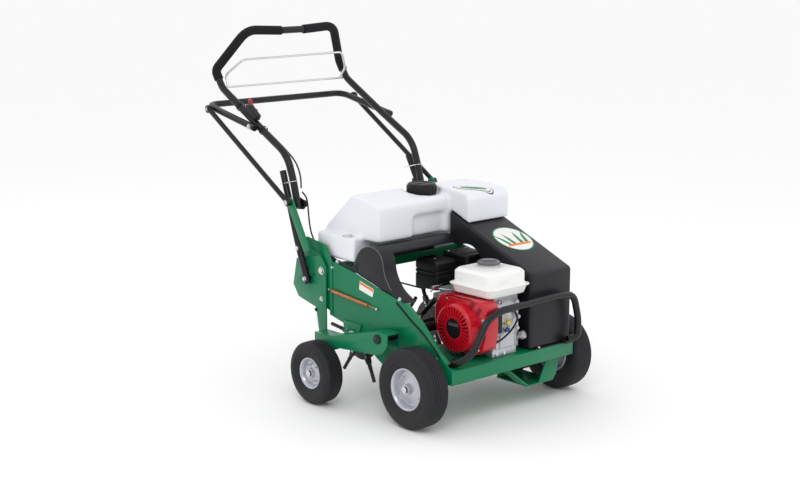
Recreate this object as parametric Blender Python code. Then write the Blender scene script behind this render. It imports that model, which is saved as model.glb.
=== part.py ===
"""Walk-behind core aerator, in metres, +Z up, front towards -Y, the machine's left towards +X.

Every coordinate in the functions below is measured from the machine's own datum: the centre
plane, the ground, and the front axle's line (Y = 0). centre_on_origin() moves the finished pieces
so that the origin is under the middle of the whole machine.
"""

import math

import bmesh
import bpy
from mathutils import Vector

# Driving dimensions
WHEELS = {
    # name: (outer radius, width, outer face from the centre plane, rim radius, bore radius, axle)
    "front": (0.140, 0.090, 0.405, 0.075, 0.0123, (0.0, 0.140)),
    "rear": (0.1135, 0.080, 0.467, 0.058, 0.0100, (0.440, 0.1135)),
}
PLATE_OUT = 0.301  # outer face of each side plate
PLATE = 0.004  # sheet steel
DECK_TOP = 0.211
DECK_FRONT = -0.128
GAP = 0.0003  # between pieces that touch

CARRIAGE_PIVOT = (0.161, 0.281)  # (y, z) of the rear wheel carriage's pivot tube
REEL = (0.385, 0.222)
REEL_RADIUS = 0.170
LEVER_PIVOT = (0.536, 0.452)
LEVER_SWING = math.radians(18)
LINK_LOW = (0.676, 0.688)
LINK_HIGH = (1.159, 0.987)
LIFT_PIVOT = (0.923, 0.940)
FOLD = (0.686, 0.672)
BAIL = (1.148, 1.066)
LOWER_BOLTS = ((0.606, 0.413), (0.648, 0.520))

HANDLE_X = 0.309
HANDLE_R = 0.0135
LOWER_X = 0.3335
LOWER_R = 0.0125
LIFT_X = 0.337
LIFT_R = 0.0125
LIFT_REAR = (1.204, 0.997)
LINK_X = 0.3625
LINK_R = 0.0095
GUARD_BAR_Y = -0.150
GUARD_BAR_R = 0.0125

CRANK = (-0.010, 0.318)
JACKSHAFT = (0.215, 0.385)
BELT_X = 0.225
CHAIN_X = 0.195
ENGINE_GROOVE = 0.031
JACK_GROOVE = 0.068
JACK_SPROCKET = 0.030
REEL_SPROCKET = 0.070
IDLER = (0.0673, 0.4292)
IDLER_PIVOT = (0.150, 0.392)

SIDES = (("right", -1), ("left", 1))


# Materials
def material(name, colour, roughness, metallic=0.0):
    made = bpy.data.materials.new(name)
    made.use_nodes = True
    shader = made.node_tree.nodes["Principled BSDF"]
    shader.inputs["Base Color"].default_value = (*colour, 1)
    shader.inputs["Roughness"].default_value = roughness
    shader.inputs["Metallic"].default_value = metallic
    made.diffuse_color = (*colour, 1)
    return made


def make_materials():
    return {
        "green": material("green_paint", (0.0, 0.29, 0.15), 0.35),
        "black_paint": material("black_paint", (0.012, 0.012, 0.014), 0.35),
        "black": material("black_plastic", (0.03, 0.03, 0.038), 0.45),
        "tyre": material("tyre_rubber", (0.035, 0.035, 0.04), 0.8),
        "rim": material("rim_paint", (0.5, 0.51, 0.56), 0.4, 0.3),
        "steel": material("bright_steel", (0.6, 0.6, 0.62), 0.3, 1.0),
        "dark_steel": material("dark_steel", (0.09, 0.1, 0.12), 0.5, 0.8),
        "casting": material("aluminium_casting", (0.5, 0.51, 0.54), 0.45, 0.9),
        "red": material("red_paint", (0.55, 0.01, 0.025), 0.35),
        "white": material("white_plastic", (0.82, 0.82, 0.8), 0.4),
        "tank": material("tank_plastic", (0.8, 0.82, 0.85), 0.5),
        "foam": material("foam_rubber", (0.02, 0.02, 0.022), 0.9),
        "copper": material("copper_plating", (0.7, 0.27, 0.12), 0.35, 0.9),
    }


# Mesh makers
def mesh_of(points, faces):
    bm = bmesh.new()
    verts = [bm.verts.new(point) for point in points]
    for face in faces:
        bm.faces.new([verts[i] for i in face])
    bmesh.ops.recalc_face_normals(bm, faces=bm.faces[:])
    mesh = bpy.data.meshes.new("mesh")
    bm.to_mesh(mesh)
    bm.free()
    return mesh


def circle(centre, radius, sides=16):
    turns = [2 * math.pi * i / sides for i in range(sides)]
    return [(centre[0] + radius * math.cos(t), centre[1] + radius * math.sin(t)) for t in turns]


def arc(centre, radius, start, end, steps):
    """Points on an arc from angle start to angle end, in degrees."""
    turns = [math.radians(start + (end - start) * i / steps) for i in range(steps + 1)]
    return [(centre[0] + radius * math.cos(t), centre[1] + radius * math.sin(t)) for t in turns]


def plate(outline, low, high, holes=(), axis="X"):
    """A flat piece between low and high on axis, its outline in the other two axes, in order."""
    def place(u, v, w):
        return {"X": (w, u, v), "Y": (u, w, v), "Z": (u, v, w)}[axis]

    loops = [list(outline)] + [list(hole) for hole in holes]
    bm = bmesh.new()
    rings = [[bm.verts.new(place(u, v, low)) for u, v in loop] for loop in loops]
    edges = [bm.edges.new((ring[i - 1], ring[i])) for ring in rings for i in range(len(ring))]
    bmesh.ops.triangle_fill(bm, edges=edges, use_beauty=True)
    bm.verts.index_update()
    flat = [[vert.index for vert in face.verts] for face in bm.faces]
    bm.free()
    points = [place(u, v, w) for w in (low, high) for loop in loops for u, v in loop]
    count = len(points) // 2
    faces = flat + [[i + count for i in reversed(face)] for face in flat]
    start = 0
    for loop in loops:
        for i in range(len(loop)):
            a = start + (i - 1) % len(loop)
            b = start + i
            faces.append([a, b, b + count, a + count])
        start += len(loop)
    return mesh_of(points, faces)


def box(low, high):
    outline = [(low[1], low[2]), (high[1], low[2]), (high[1], high[2]), (low[1], high[2])]
    return plate(outline, low[0], high[0])


def turned(profile, centre, axis="X", sides=24, closed=True):
    """A profile of (radius, distance along axis) turned about the axis through centre."""
    points = []
    rings = []
    for radius, along in profile:
        if radius == 0:
            rings.append([len(points)] * sides)
            points.append(turned_point(centre, axis, 0, along, 0))
            continue
        rings.append([len(points) + i for i in range(sides)])
        points += [turned_point(centre, axis, radius, along, i / sides) for i in range(sides)]
    faces = []
    pairs = [(i, i + 1) for i in range(len(rings) - 1)]
    if closed:
        pairs.append((len(rings) - 1, 0))
    for a, b in pairs:
        for i in range(sides):
            j = (i + 1) % sides
            corners = [rings[a][i], rings[a][j], rings[b][j], rings[b][i]]
            faces.append(list(dict.fromkeys(corners)))
    return mesh_of(points, faces)


def turned_point(centre, axis, radius, along, turn):
    u = radius * math.cos(2 * math.pi * turn)
    v = radius * math.sin(2 * math.pi * turn)
    if axis == "X":
        return (along, centre[0] + u, centre[1] + v)
    if axis == "Y":
        return (centre[0] + u, along, centre[1] + v)
    return (centre[0] + u, centre[1] + v, along)


def rod(centre, radius, low, high, axis="X", sides=16):
    profile = [(0, low), (radius, low), (radius, high), (0, high)]
    return turned(profile, centre, axis, sides, closed=False)


def ring(centre, outer, bore, low, high, axis="X", sides=16):
    profile = [(bore, low), (outer, low), (outer, high), (bore, high)]
    return turned(profile, centre, axis, sides)


def rounded(points, reach, steps=3):
    """The path with each corner replaced by a smooth bend that starts reach before it."""
    path = [Vector(point) for point in points]
    made = [path[0]]
    for i in range(1, len(path) - 1):
        before = path[i - 1] - path[i]
        after = path[i + 1] - path[i]
        cut = min(reach, 0.49 * before.length, 0.49 * after.length)
        start = path[i] + before.normalized() * cut
        end = path[i] + after.normalized() * cut
        for k in range(steps + 1):
            t = k / steps
            made.append((1 - t) ** 2 * start + 2 * t * (1 - t) * path[i] + t * t * end)
    made.append(path[-1])
    return made


def swept(points, radius, sides=12, bore=None):
    """A round bar along points, or a pipe where bore gives its inner radius."""
    path = [Vector(point) for point in points]
    ahead = [(b - a).normalized() for a, b in zip(path, path[1:])]
    tangents = [ahead[0]] + [(a + b).normalized() for a, b in zip(ahead, ahead[1:])] + [ahead[-1]]
    side = tangents[0].orthogonal().normalized()
    frames = []
    for tangent in tangents:
        side = (side - tangent * side.dot(tangent)).normalized()
        frames.append((side.copy(), tangent.cross(side)))
    points = []
    radii = [radius] if bore is None else [radius, bore]
    for reach in radii:
        for centre, (u, v) in zip(path, frames):
            for i in range(sides):
                turn = 2 * math.pi * i / sides
                points.append(centre + reach * (u * math.cos(turn) + v * math.sin(turn)))
    count = len(path)
    faces = []
    for shell in range(len(radii)):
        for k in range(count - 1):
            row = (shell * count + k) * sides
            for i in range(sides):
                j = (i + 1) % sides
                faces.append([row + i, row + j, row + sides + j, row + sides + i])
    if bore is None:
        faces.append(list(range(sides)))
        faces.append([(count - 1) * sides + i for i in range(sides)])
    else:
        for row in (0, (count - 1) * sides):
            inner = row + count * sides
            for i in range(sides):
                j = (i + 1) % sides
                faces.append([row + i, row + j, inner + j, inner + i])
    return mesh_of(points, faces)


def scratch(mesh):
    helper = bpy.data.objects.new("helper", mesh)
    bpy.context.scene.collection.objects.link(helper)
    return helper


def boolean(operation, first, others):
    base = scratch(first)
    tools = [scratch(mesh) for mesh in others]
    for tool in tools:
        step = base.modifiers.new("step", "BOOLEAN")
        step.operation = operation
        step.object = tool
    bpy.context.view_layer.update()
    graph = bpy.context.evaluated_depsgraph_get()
    made = bpy.data.meshes.new_from_object(base.evaluated_get(graph))
    for helper in [base] + tools:
        bpy.data.objects.remove(helper)
    return made


def joined(first, *others):
    return boolean("UNION", first, others)


def cut(first, *others):
    return boolean("DIFFERENCE", first, others)


def add(name, mesh, finish, pivot=(0, 0, 0)):
    """The mesh as a named piece, with its origin at pivot."""
    place = Vector(pivot)
    for vert in mesh.vertices:
        vert.co -= place
    mesh.materials.clear()
    mesh.materials.append(FINISH[finish])
    mesh.shade_smooth()
    mesh.set_sharp_from_angle(angle=math.radians(35))
    mesh.name = name
    made = bpy.data.objects.new(name, mesh)
    made.location = place
    bpy.context.scene.collection.objects.link(made)
    return made


def at_axis(centre):
    return (0, centre[0], centre[1])


# Frame
SLOPE = [(-0.128, 0.211), (-0.048, 0.265), (0.032, 0.345), (0.112, 0.402)]
TOP_EDGE = [(0.257, 0.435), (0.376, 0.467), (0.515, 0.492)]


def make_deck():
    half = PLATE_OUT - PLATE - GAP
    back = 0.155
    top = box((-half, DECK_FRONT, DECK_TOP - PLATE), (half, back, DECK_TOP))
    front = box((-half, DECK_FRONT, 0.162), (half, DECK_FRONT + PLATE, DECK_TOP - PLATE / 2))
    rear = box((-half, back - PLATE, 0.165), (half, back, DECK_TOP - PLATE / 2))
    bracket_outline = [(0.100, 0.2095), (0.152, 0.2095), (0.205, 0.300), (0.238, 0.385)]
    bracket_outline += arc(JACKSHAFT, 0.023, 10, 150, 5) + [(0.120, 0.300)]
    bores = [circle(JACKSHAFT, 0.0095), circle(CARRIAGE_PIVOT, 0.0185)]
    bracket = plate(bracket_outline, 0.178, 0.182, bores)
    add("deck", joined(top, front, rear, bracket), "green")


def make_axle_hanger():
    """The hanger bolted under the deck around the front axle's drum."""
    floor = box((0.090, -0.105, 0.075), (0.225, 0.048, 0.080))
    strap = [(0.190, 0.1617), (0.258, 0.1617), (0.240, 0.095), (0.224, 0.0775), (0.150, 0.0775)]
    front = plate(strap, -0.1045, -0.0995, axis="Y")
    lean = [(-0.020, 0.1617), (-0.012, 0.1617), (0.100, 0.0785), (0.092, 0.0755)]
    side = plate(lean, -0.1040, -0.0600, axis="Y")
    back = box((0.094, 0.043, 0.078), (0.225, 0.0475, 0.2067))
    add("axle_hanger", joined(floor, front, side, back), "green")


def make_side_plates():
    lower = [(0.515, 0.289), (0.375, 0.258), (0.300, 0.205), (0.225, 0.162), (0.060, 0.162)]
    lower += [(0.045, 0.112), (-0.045, 0.112), (-0.060, 0.162), (-0.128, 0.162)]
    outline = SLOPE + TOP_EDGE + lower
    axle = WHEELS["front"][5]
    holes = [circle(axle, 0.016), circle(CARRIAGE_PIVOT, 0.0185)]
    jack_hole = [circle(JACKSHAFT, 0.0095)]
    flange_top = [(-0.0995, 0.2310), (-0.0485, 0.2658), (0.0315, 0.3458), (0.1115, 0.4028)]
    flange_low = [(y + 0.0025, z - 0.0035) for y, z in flange_top]
    upright = [(0.496, 0.300), (0.496, 0.490), (0.530, 0.545), (0.640, 0.560), (0.675, 0.530)]
    upright += [(0.675, 0.490), (0.640, 0.390), (0.580, 0.330)]
    for side, s in SIDES:
        own = holes + jack_hole if side == "left" else holes
        wall = plate(outline, s * (PLATE_OUT - PLATE), s * PLATE_OUT, own)
        flange = plate(flange_top + flange_low[::-1], s * 0.280, s * (PLATE_OUT - PLATE / 2))
        shaft_hole = [circle(LEVER_PIVOT, 0.0140)]
        tower = plate(upright, s * (PLATE_OUT - 0.0005), s * 0.3055, shaft_hole)
        spacer = ring(LEVER_PIVOT, 0.0165, 0.0125, s * 0.3045, s * 0.3132, sides=16)
        pieces = [tower, spacer] if side == "left" else [tower, spacer, flange]
        add(f"side_plate_{side}", joined(wall, *pieces), "green")


def make_cross_member():
    half = PLATE_OUT - PLATE - GAP
    add("rear_cross_member", box((-half, 0.468, 0.440), (half, 0.508, 0.480)), "green")


def make_guard_bar():
    path = [(-0.262, -0.020, 0.2245), (-0.262, -0.108, 0.2245), (-0.228, GUARD_BAR_Y, 0.262)]
    path += [(-0.160, GUARD_BAR_Y, 0.368), (-0.105, GUARD_BAR_Y, 0.391)]
    path += [(0.200, GUARD_BAR_Y, 0.399), (0.275, GUARD_BAR_Y, 0.390)]
    path += [(0.303, GUARD_BAR_Y, 0.290), (0.298, GUARD_BAR_Y, 0.230), (0.262, -0.136, 0.2265)]
    add("engine_guard_bar", swept(rounded(path, 0.026, 2), GUARD_BAR_R, 10), "black_paint")


# Front axle and wheels
def make_front_axle():
    reach = WHEELS["front"][2] - 0.003
    axle = WHEELS["front"][5]
    profile = [(0, -reach), (0.012, -reach), (0.012, 0.125), (0.035, 0.125), (0.035, 0.195)]
    profile += [(0.012, 0.195), (0.012, reach), (0, reach)]
    add("front_axle", turned(profile, axle, closed=False, sides=16), "dark_steel", at_axis(axle))


def make_wheels():
    for place, (radius, width, face, rim, bore, axle) in WHEELS.items():
        for side, s in SIDES:
            inner = face - width
            tyre = [(rim, inner + 0.012), (rim + 0.008, inner + 0.006), (radius - 0.022, inner)]
            tyre += [(radius - 0.006, inner + 0.008), (radius, inner + 0.022)]
            tyre += [(radius, face - 0.022), (radius - 0.006, face - 0.008)]
            tyre += [(radius - 0.022, face), (rim + 0.008, face - 0.006), (rim, face - 0.012)]
            solid = turned([(r, s * x) for r, x in tyre], axle)
            add(f"{place}_tyre_{side}", solid, "tyre", at_axis(axle))
            edge = rim - GAP
            disc = [(bore, inner + 0.004), (bore + 0.012, inner + 0.004), (bore + 0.012, face - 0.050)]
            disc += [(edge - 0.010, face - 0.044), (edge, inner + 0.012), (edge, face - 0.012)]
            disc += [(edge - 0.008, face - 0.012), (edge - 0.014, face - 0.030)]
            disc += [(bore + 0.012, face - 0.032), (bore + 0.012, face - 0.006), (bore, face - 0.006)]
            solid = turned([(r, s * x) for r, x in disc], axle)
            add(f"{place}_rim_{side}", solid, "rim", at_axis(axle))


# Rear wheel carriage
def make_carriage():
    axle = WHEELS["rear"][5]
    pivot = at_axis(CARRIAGE_PIVOT)
    top = [(0.110, 0.305), (0.170, 0.305), (0.425, 0.240), (0.505, 0.240)]
    lower = [(0.505, 0.200), (0.470, 0.165), (0.464, 0.100), (0.416, 0.100), (0.405, 0.190)]
    lower += [(0.363, 0.207), (0.165, 0.223), (0.135, 0.235), (0.110, 0.262)]
    under = [(y, z - PLATE) for y, z in top]
    for side, s in SIDES:
        wall = plate(top + lower, s * 0.3765, s * 0.3810, [circle(CARRIAGE_PIVOT, 0.0173, 20)])
        web = plate(top + under[::-1], s * 0.3215, s * 0.3780)
        stub = rod(axle, WHEELS["rear"][4] - GAP, s * 0.3780, s * 0.4640)
        arm = joined(wall, web, stub)
        add(f"carriage_arm_{side}", arm, "green", pivot)
    add("carriage_pivot_tube", rod(CARRIAGE_PIVOT, 0.017, -0.386, 0.386), "black_paint", pivot)


# Tine reel
def tine_star(turn):
    """Six tapered tines around a hub, as one outline."""
    outline = []
    for k in range(6):
        middle = math.radians(turn + 60 * k)
        for radius, half in ((0.050, 22), (0.085, 8), (0.160, 3.0), (REEL_RADIUS, 2.4)):
            angle = middle - math.radians(half)
            outline.append((REEL[0] + radius * math.cos(angle), REEL[1] + radius * math.sin(angle)))
        for radius, half in ((REEL_RADIUS, 2.4), (0.160, 3.0), (0.085, 8), (0.050, 22)):
            angle = middle + math.radians(half)
            outline.append((REEL[0] + radius * math.cos(angle), REEL[1] + radius * math.sin(angle)))
    return outline


def make_reel():
    pivot = at_axis(REEL)
    low = CHAIN_X - 0.0025
    high = CHAIN_X + 0.0025
    profile = [(0, -0.3045), (0.0125, -0.3045), (0.0125, low), (REEL_SPROCKET, low)]
    profile += [(REEL_SPROCKET, high), (0.0125, high), (0.0125, 0.3045), (0, 0.3045)]
    add("reel_shaft", turned(profile, REEL, closed=False), "dark_steel", pivot)
    for number, x in enumerate((-0.260, -0.087, 0.087, 0.260), 1):
        bore = [circle(REEL, 0.0128, 20)]
        star = plate(tine_star(246), x - 0.0075, x + 0.0075, bore)
        add(f"tine_wheel_{number}", star, "dark_steel", pivot)
    outline = [(0.362, 0.199), (0.408, 0.199), (0.428, 0.225), (0.436, 0.285), (0.336, 0.285)]
    for side, s in SIDES:
        holder = plate(outline, s * 0.3013, s * 0.3053, [circle(REEL, 0.0128, 20)])
        add(f"reel_bearing_{side}", holder, "green")


# Lift levers
def make_levers():
    """Each lever: an inner plate with its strap, a joggle outwards, and an arm up to the link."""
    inner = [(0.516, 0.469), (0.516, 0.300), (0.515, 0.200), (0.555, 0.211), (0.574, 0.309)]
    inner += [(0.675, 0.332), (0.706, 0.375), (0.684, 0.474), (0.628, 0.490), (0.592, 0.501)]
    inner += [(0.548, 0.510)]
    arm = [(0.562, 0.524), (0.599, 0.516), (0.692, 0.676), (0.691, 0.696), (0.676, 0.706)]
    arm += [(0.659, 0.696), (0.574, 0.544)]
    bolt = LOWER_BOLTS[0]
    radius = math.dist(bolt, LEVER_PIVOT)
    start = math.degrees(math.atan2(bolt[1] - LEVER_PIVOT[1], bolt[0] - LEVER_PIVOT[0]))
    end = start + math.degrees(LEVER_SWING)
    slot = arc(LEVER_PIVOT, radius + 0.0075, start - 5, end + 7, 6)
    slot += arc(LEVER_PIVOT, radius - 0.0075, end + 7, start - 5, 6)
    pivot = at_axis(LEVER_PIVOT)
    for side, s in SIDES:
        flat = plate(inner, s * 0.3135, s * 0.3185, [circle(LEVER_PIVOT, 0.0113), slot])
        upper = plate(arm, s * 0.3478, s * 0.3528)
        low = [(s * 0.3138, 0.545, 0.504), (s * 0.3182, 0.545, 0.504)]
        low += [(s * 0.3182, 0.590, 0.496), (s * 0.3138, 0.590, 0.496)]
        high = [(s * 0.3481, 0.564, 0.530), (s * 0.3525, 0.564, 0.530)]
        high += [(s * 0.3525, 0.600, 0.523), (s * 0.3481, 0.600, 0.523)]
        faces = [[0, 1, 2, 3], [4, 5, 6, 7]] + [[i, (i + 1) % 4, (i + 1) % 4 + 4, i + 4] for i in range(4)]
        joggle = mesh_of(low + high, faces)
        add(f"lift_lever_{side}", joined(flat, joggle, upper), "green", pivot)
    add("lever_cross_shaft", rod(LEVER_PIVOT, 0.011, -0.3285, 0.3285), "steel", pivot)


def make_springs():
    """Each assist spring, as the outer shape of its coils with a wire hook at each end."""
    for side, s in SIDES:
        x = s * 0.3090
        coils = swept([(x, 0.292, 0.3645), (x, 0.488, 0.3825)], 0.0062)
        wire = swept([(x, 0.246, 0.3600), (x, 0.300, 0.3650)], 0.0016, 8)
        tail = swept([(x, 0.480, 0.3818), (x, 0.508, 0.3845)], 0.0016, 8)
        add(f"assist_spring_{side}", joined(coils, wire, tail), "copper")


# Handle
def make_lower_tubes():
    """Each fixed lower tube with its two bolts and the fold bracket on its inner side."""
    for side, s in SIDES:
        path = [(s * LOWER_X, 0.5985, 0.394), (s * LOWER_X, 0.655, 0.535), (s * 0.312, 0.767, 0.788)]
        tube = swept(rounded(path, 0.03, 1), LOWER_R, 12)
        low, high = LOWER_BOLTS
        bolts = [rod(low, 0.0055, s * 0.3058, s * LOWER_X, sides=12)]
        bolts.append(rod(high, 0.0075, s * 0.3058, s * LOWER_X, sides=12))
        bolts.append(rod(low, 0.0075, s * 0.3400, s * 0.3500, sides=12))
        bolts.append(rod(high, 0.0070, s * 0.3400, s * 0.3473, sides=12))
        corners = [(0.7085, 0.652), (0.7185, 0.652), (0.7185, 0.684), (0.7085, 0.684)]
        web = plate(corners, s * 0.290, s * 0.314)
        bracket = [(0.664, 0.668), (0.672, 0.654), (0.7195, 0.650), (0.7195, 0.704), (0.690, 0.694)]
        bracket += [(0.668, 0.688)]
        ear = plate(bracket, s * 0.2870, s * 0.2920)
        knob = rod(FOLD, 0.0140, s * 0.2720, s * 0.2875, sides=16)
        add(f"lower_handle_tube_{side}", joined(tube, *bolts, web, ear, knob), "black_paint")


def handle_half(s):
    """The upper handle's centre line from its foot to its middle, and where its grip starts."""
    x = s * HANDLE_X
    path = [(x, 0.6835, 0.662), (x, 0.708, 0.754), (x, 0.735, 0.826), (x, 0.768, 0.862)]
    path += [(x, 0.919, 0.941), (x, 1.142, 1.065), (x, 1.164, 1.0975)]
    lower = rounded(path, 0.022, 1)
    path = [(x, 1.164, 1.0975), (x, 1.186, 1.130), (s * 0.213, 1.108, 1.283)]
    path += [(s * 0.058, 1.102, 1.275), (s * 0.056, 1.102, 1.275)]
    return lower[:-1] + rounded(path, 0.045, 3), len(lower) - 1


def make_upper_handle():
    pivot = at_axis(FOLD)
    right, _ = handle_half(-1)
    left, _ = handle_half(1)
    tube = swept(right + left[::-1], HANDLE_R, 10)
    studs = [ring(LIFT_PIVOT, 0.0120, 0.0045, s * 0.3205, s * 0.3235, sides=12) for _, s in SIDES]
    add("upper_handle", joined(tube, *studs), "black_paint", pivot)
    for side, s in SIDES:
        line, start = handle_half(s)
        foam = swept(line[start:], 0.0175, 10, bore=HANDLE_R + 3 * GAP)
        add(f"foam_grip_{side}", foam, "foam", pivot)


def make_lift_bar():
    """The U-shaped lift bar, with the pins that its links turn on."""
    slope = (LINK_HIGH[1] - LIFT_PIVOT[1]) / (LINK_HIGH[0] - LIFT_PIVOT[0])
    front = (LIFT_PIVOT[0] - 0.022, LIFT_PIVOT[1] - 0.022 * slope)
    path = [(-LIFT_X, *front), (-LIFT_X, *LIFT_REAR), (LIFT_X, *LIFT_REAR), (LIFT_X, *front)]
    bar = swept(rounded(path, 0.032), LIFT_R)
    pins = []
    for _, s in SIDES:
        pins.append(rod(LINK_HIGH, 0.0050, s * LIFT_X, s * 0.3760, sides=12))
        pins.append(rod(LIFT_PIVOT, 0.0080, s * LIFT_X, s * 0.3545, sides=12))
    add("lift_bar", joined(bar, *pins), "black_paint", at_axis(LIFT_PIVOT))


def make_links():
    run = (Vector(LINK_HIGH) - Vector(LINK_LOW)).normalized()
    top = Vector(LINK_HIGH) - 0.0105 * run
    foot = Vector(LINK_LOW) + 0.0080 * run
    for side, s in SIDES:
        bar = swept([(s * LINK_X, *top), (s * LINK_X, *foot)], LINK_R)
        eye = ring(LINK_HIGH, 0.0150, 0.0055, s * 0.3550, s * 0.3710, sides=20)
        end = rod(LINK_LOW, 0.0135, s * 0.3545, s * 0.3720, sides=20)
        add(f"lift_link_{side}", joined(bar, eye, end), "black_paint", at_axis(LINK_HIGH))


def make_bail():
    x = 0.277
    shaft = swept([(-0.2945, *BAIL), (0.2945, *BAIL)], 0.0042, 10)
    bow = [(-x, *BAIL), (-x, 1.166, 1.110), (-0.243, 1.096, 1.172), (0.243, 1.090, 1.176)]
    bow += [(x, 1.110, 1.110), (x, *BAIL)]
    rail = swept(rounded(bow, 0.014, 3), 0.0038, 8)
    add("control_bail", joined(shaft, rail), "steel", at_axis(BAIL))


def make_throttle():
    """The throttle's box over the right handle tube, and its lever."""
    run = Vector((0, 1.144 - 0.919, 1.066 - 0.941)).normalized()
    rise = Vector((0, -run.z, run.y))
    foot = Vector((0, 0.930, 0.941 + 0.011 * run.z / run.y))
    corners = [foot + run * a + rise * b for a, b in ((0, 0.0142), (0.075, 0.0142), (0.075, 0.038))]
    corners += [foot + run * a + rise * b for a, b in ((0.060, 0.044), (0, 0.036))]
    outline = [(corner.y, corner.z) for corner in corners]
    add("throttle_box", plate(outline, -0.322, -0.297), "black")
    hub = foot + run * 0.040 + rise * 0.030
    tip = hub + run * 0.048 + rise * 0.012
    stem = swept([(-0.2935, hub.y, hub.z), (-0.2935, tip.y, tip.z)], 0.0030, 8)
    button = rod((tip.y, tip.z), 0.0085, -0.2985, -0.2885, sides=12)
    boss = rod((hub.y, hub.z), 0.0080, -0.2967, -0.2905, sides=12)
    pivot = (0, hub.y, hub.z)
    add("throttle_lever", joined(boss, stem, button), "red", pivot)


UPPER_CABLE = [
    (-0.2915, 1.100, 1.0416), (-0.2915, 1.030, 1.0027), (-0.2915, 0.960, 0.9638),
    (-0.2915, 0.890, 0.9258), (-0.2915, 0.820, 0.8892), (-0.2905, 0.765, 0.8570),
    (-0.2890, 0.727, 0.8290), (-0.2880, 0.705, 0.8000), (-0.2870, 0.694, 0.7660),
    (-0.2860, 0.693, 0.7300),
]
LOWER_CABLE = [
    (-0.2835, 0.690, 0.7160), (-0.2825, 0.670, 0.7000), (-0.2820, 0.661, 0.6750),
    (-0.2825, 0.656, 0.6400), (-0.2860, 0.646, 0.6050), (-0.2920, 0.628, 0.5720),
    (-0.2952, 0.602, 0.5420), (-0.2953, 0.570, 0.5170), (-0.2953, 0.535, 0.5030),
    (-0.2950, 0.500, 0.4965), (-0.2900, 0.455, 0.4850), (-0.2760, 0.410, 0.4730),
    (-0.2450, 0.365, 0.4580), (-0.1950, 0.315, 0.4380), (-0.1400, 0.265, 0.4180),
    (-0.0950, 0.225, 0.4020),
]


def cable(name, points):
    data = bpy.data.curves.new(name, "CURVE")
    data.dimensions = "3D"
    data.bevel_depth = 0.0030
    data.bevel_resolution = 2
    data.use_fill_caps = True
    spline = data.splines.new("POLY")
    spline.points.add(len(points) - 1)
    for point, place in zip(spline.points, points):
        point.co = (*place, 1)
    data.materials.append(FINISH["black"])
    made = bpy.data.objects.new(name, data)
    bpy.context.scene.collection.objects.link(made)


# Drive
def loop_outline(a, ra, b, rb):
    """The outline of a band round two circles."""
    away = math.atan2(b[1] - a[1], b[0] - a[0])
    lean = math.acos((ra - rb) / math.dist(a, b))
    start = math.degrees(away + lean)
    stop = math.degrees(away - lean)
    return arc(a, ra, start, stop + 360, 10) + arc(b, rb, stop, start, 10)


def band(a, ra, b, rb, thick, low, high):
    outer = loop_outline(a, ra + thick, b, rb + thick)
    inner = loop_outline(a, ra, b, rb)
    return plate(outer, low, high, [inner])


def pulley(groove, middle, depth=0.009):
    """Profile points of a pulley whose groove takes the belt at middle."""
    half = 0.0056
    wide = 0.0085
    edge = groove + depth
    return [
        (edge, middle - wide), (edge, middle - half), (groove, middle - half),
        (groove, middle + half), (edge, middle + half), (edge, middle + wide),
    ]


def make_drive():
    crank = [(0, 0.0610), (0.0100, 0.0610), (0.0100, BELT_X - 0.0085)]
    crank += pulley(ENGINE_GROOVE, BELT_X) + [(0, BELT_X + 0.0085)]
    solid = turned(crank, CRANK, closed=False, sides=20)
    add("engine_pulley", solid, "dark_steel", at_axis(CRANK))
    low = CHAIN_X - 0.0025
    high = CHAIN_X + 0.0025
    shaft = [(0, 0.172), (0.009, 0.172), (0.009, low), (JACK_SPROCKET, low), (JACK_SPROCKET, high)]
    shaft += [(0.009, high), (0.009, BELT_X - 0.0085)] + pulley(JACK_GROOVE, BELT_X)
    shaft += [(0.009, BELT_X + 0.0085), (0.009, 0.304), (0, 0.304)]
    solid = turned(shaft, JACKSHAFT, closed=False)
    add("jackshaft", solid, "dark_steel", at_axis(JACKSHAFT))
    slack = 0.0012
    engine = ENGINE_GROOVE + slack
    belt = band(CRANK, engine, JACKSHAFT, JACK_GROOVE + slack, 0.0075, BELT_X - 0.005, BELT_X + 0.005)
    add("drive_belt", belt, "tyre")
    small = JACK_SPROCKET + slack
    chain = band(JACKSHAFT, small, REEL, REEL_SPROCKET + slack, 0.006, CHAIN_X - 0.004, CHAIN_X + 0.004)
    add("drive_chain", chain, "dark_steel")
    run = Vector(IDLER) - Vector(IDLER_PIVOT)
    across = Vector((-run.y, run.x)).normalized() * 0.010
    ends = [Vector(IDLER_PIVOT) - across, Vector(IDLER_PIVOT) + across]
    ends += [Vector(IDLER) + across, Vector(IDLER) - across]
    arm = plate([tuple(end) for end in ends], 0.2360, 0.2400)
    wheel = rod(IDLER, 0.020, BELT_X - 0.007, BELT_X + 0.007)
    pin = rod(IDLER, 0.006, BELT_X, 0.2445, sides=12)
    hinge = rod(IDLER_PIVOT, 0.0075, 0.2380, 0.2925, sides=12)
    add("idler_arm", joined(arm, wheel, pin, hinge), "dark_steel", at_axis(IDLER_PIVOT))


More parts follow.
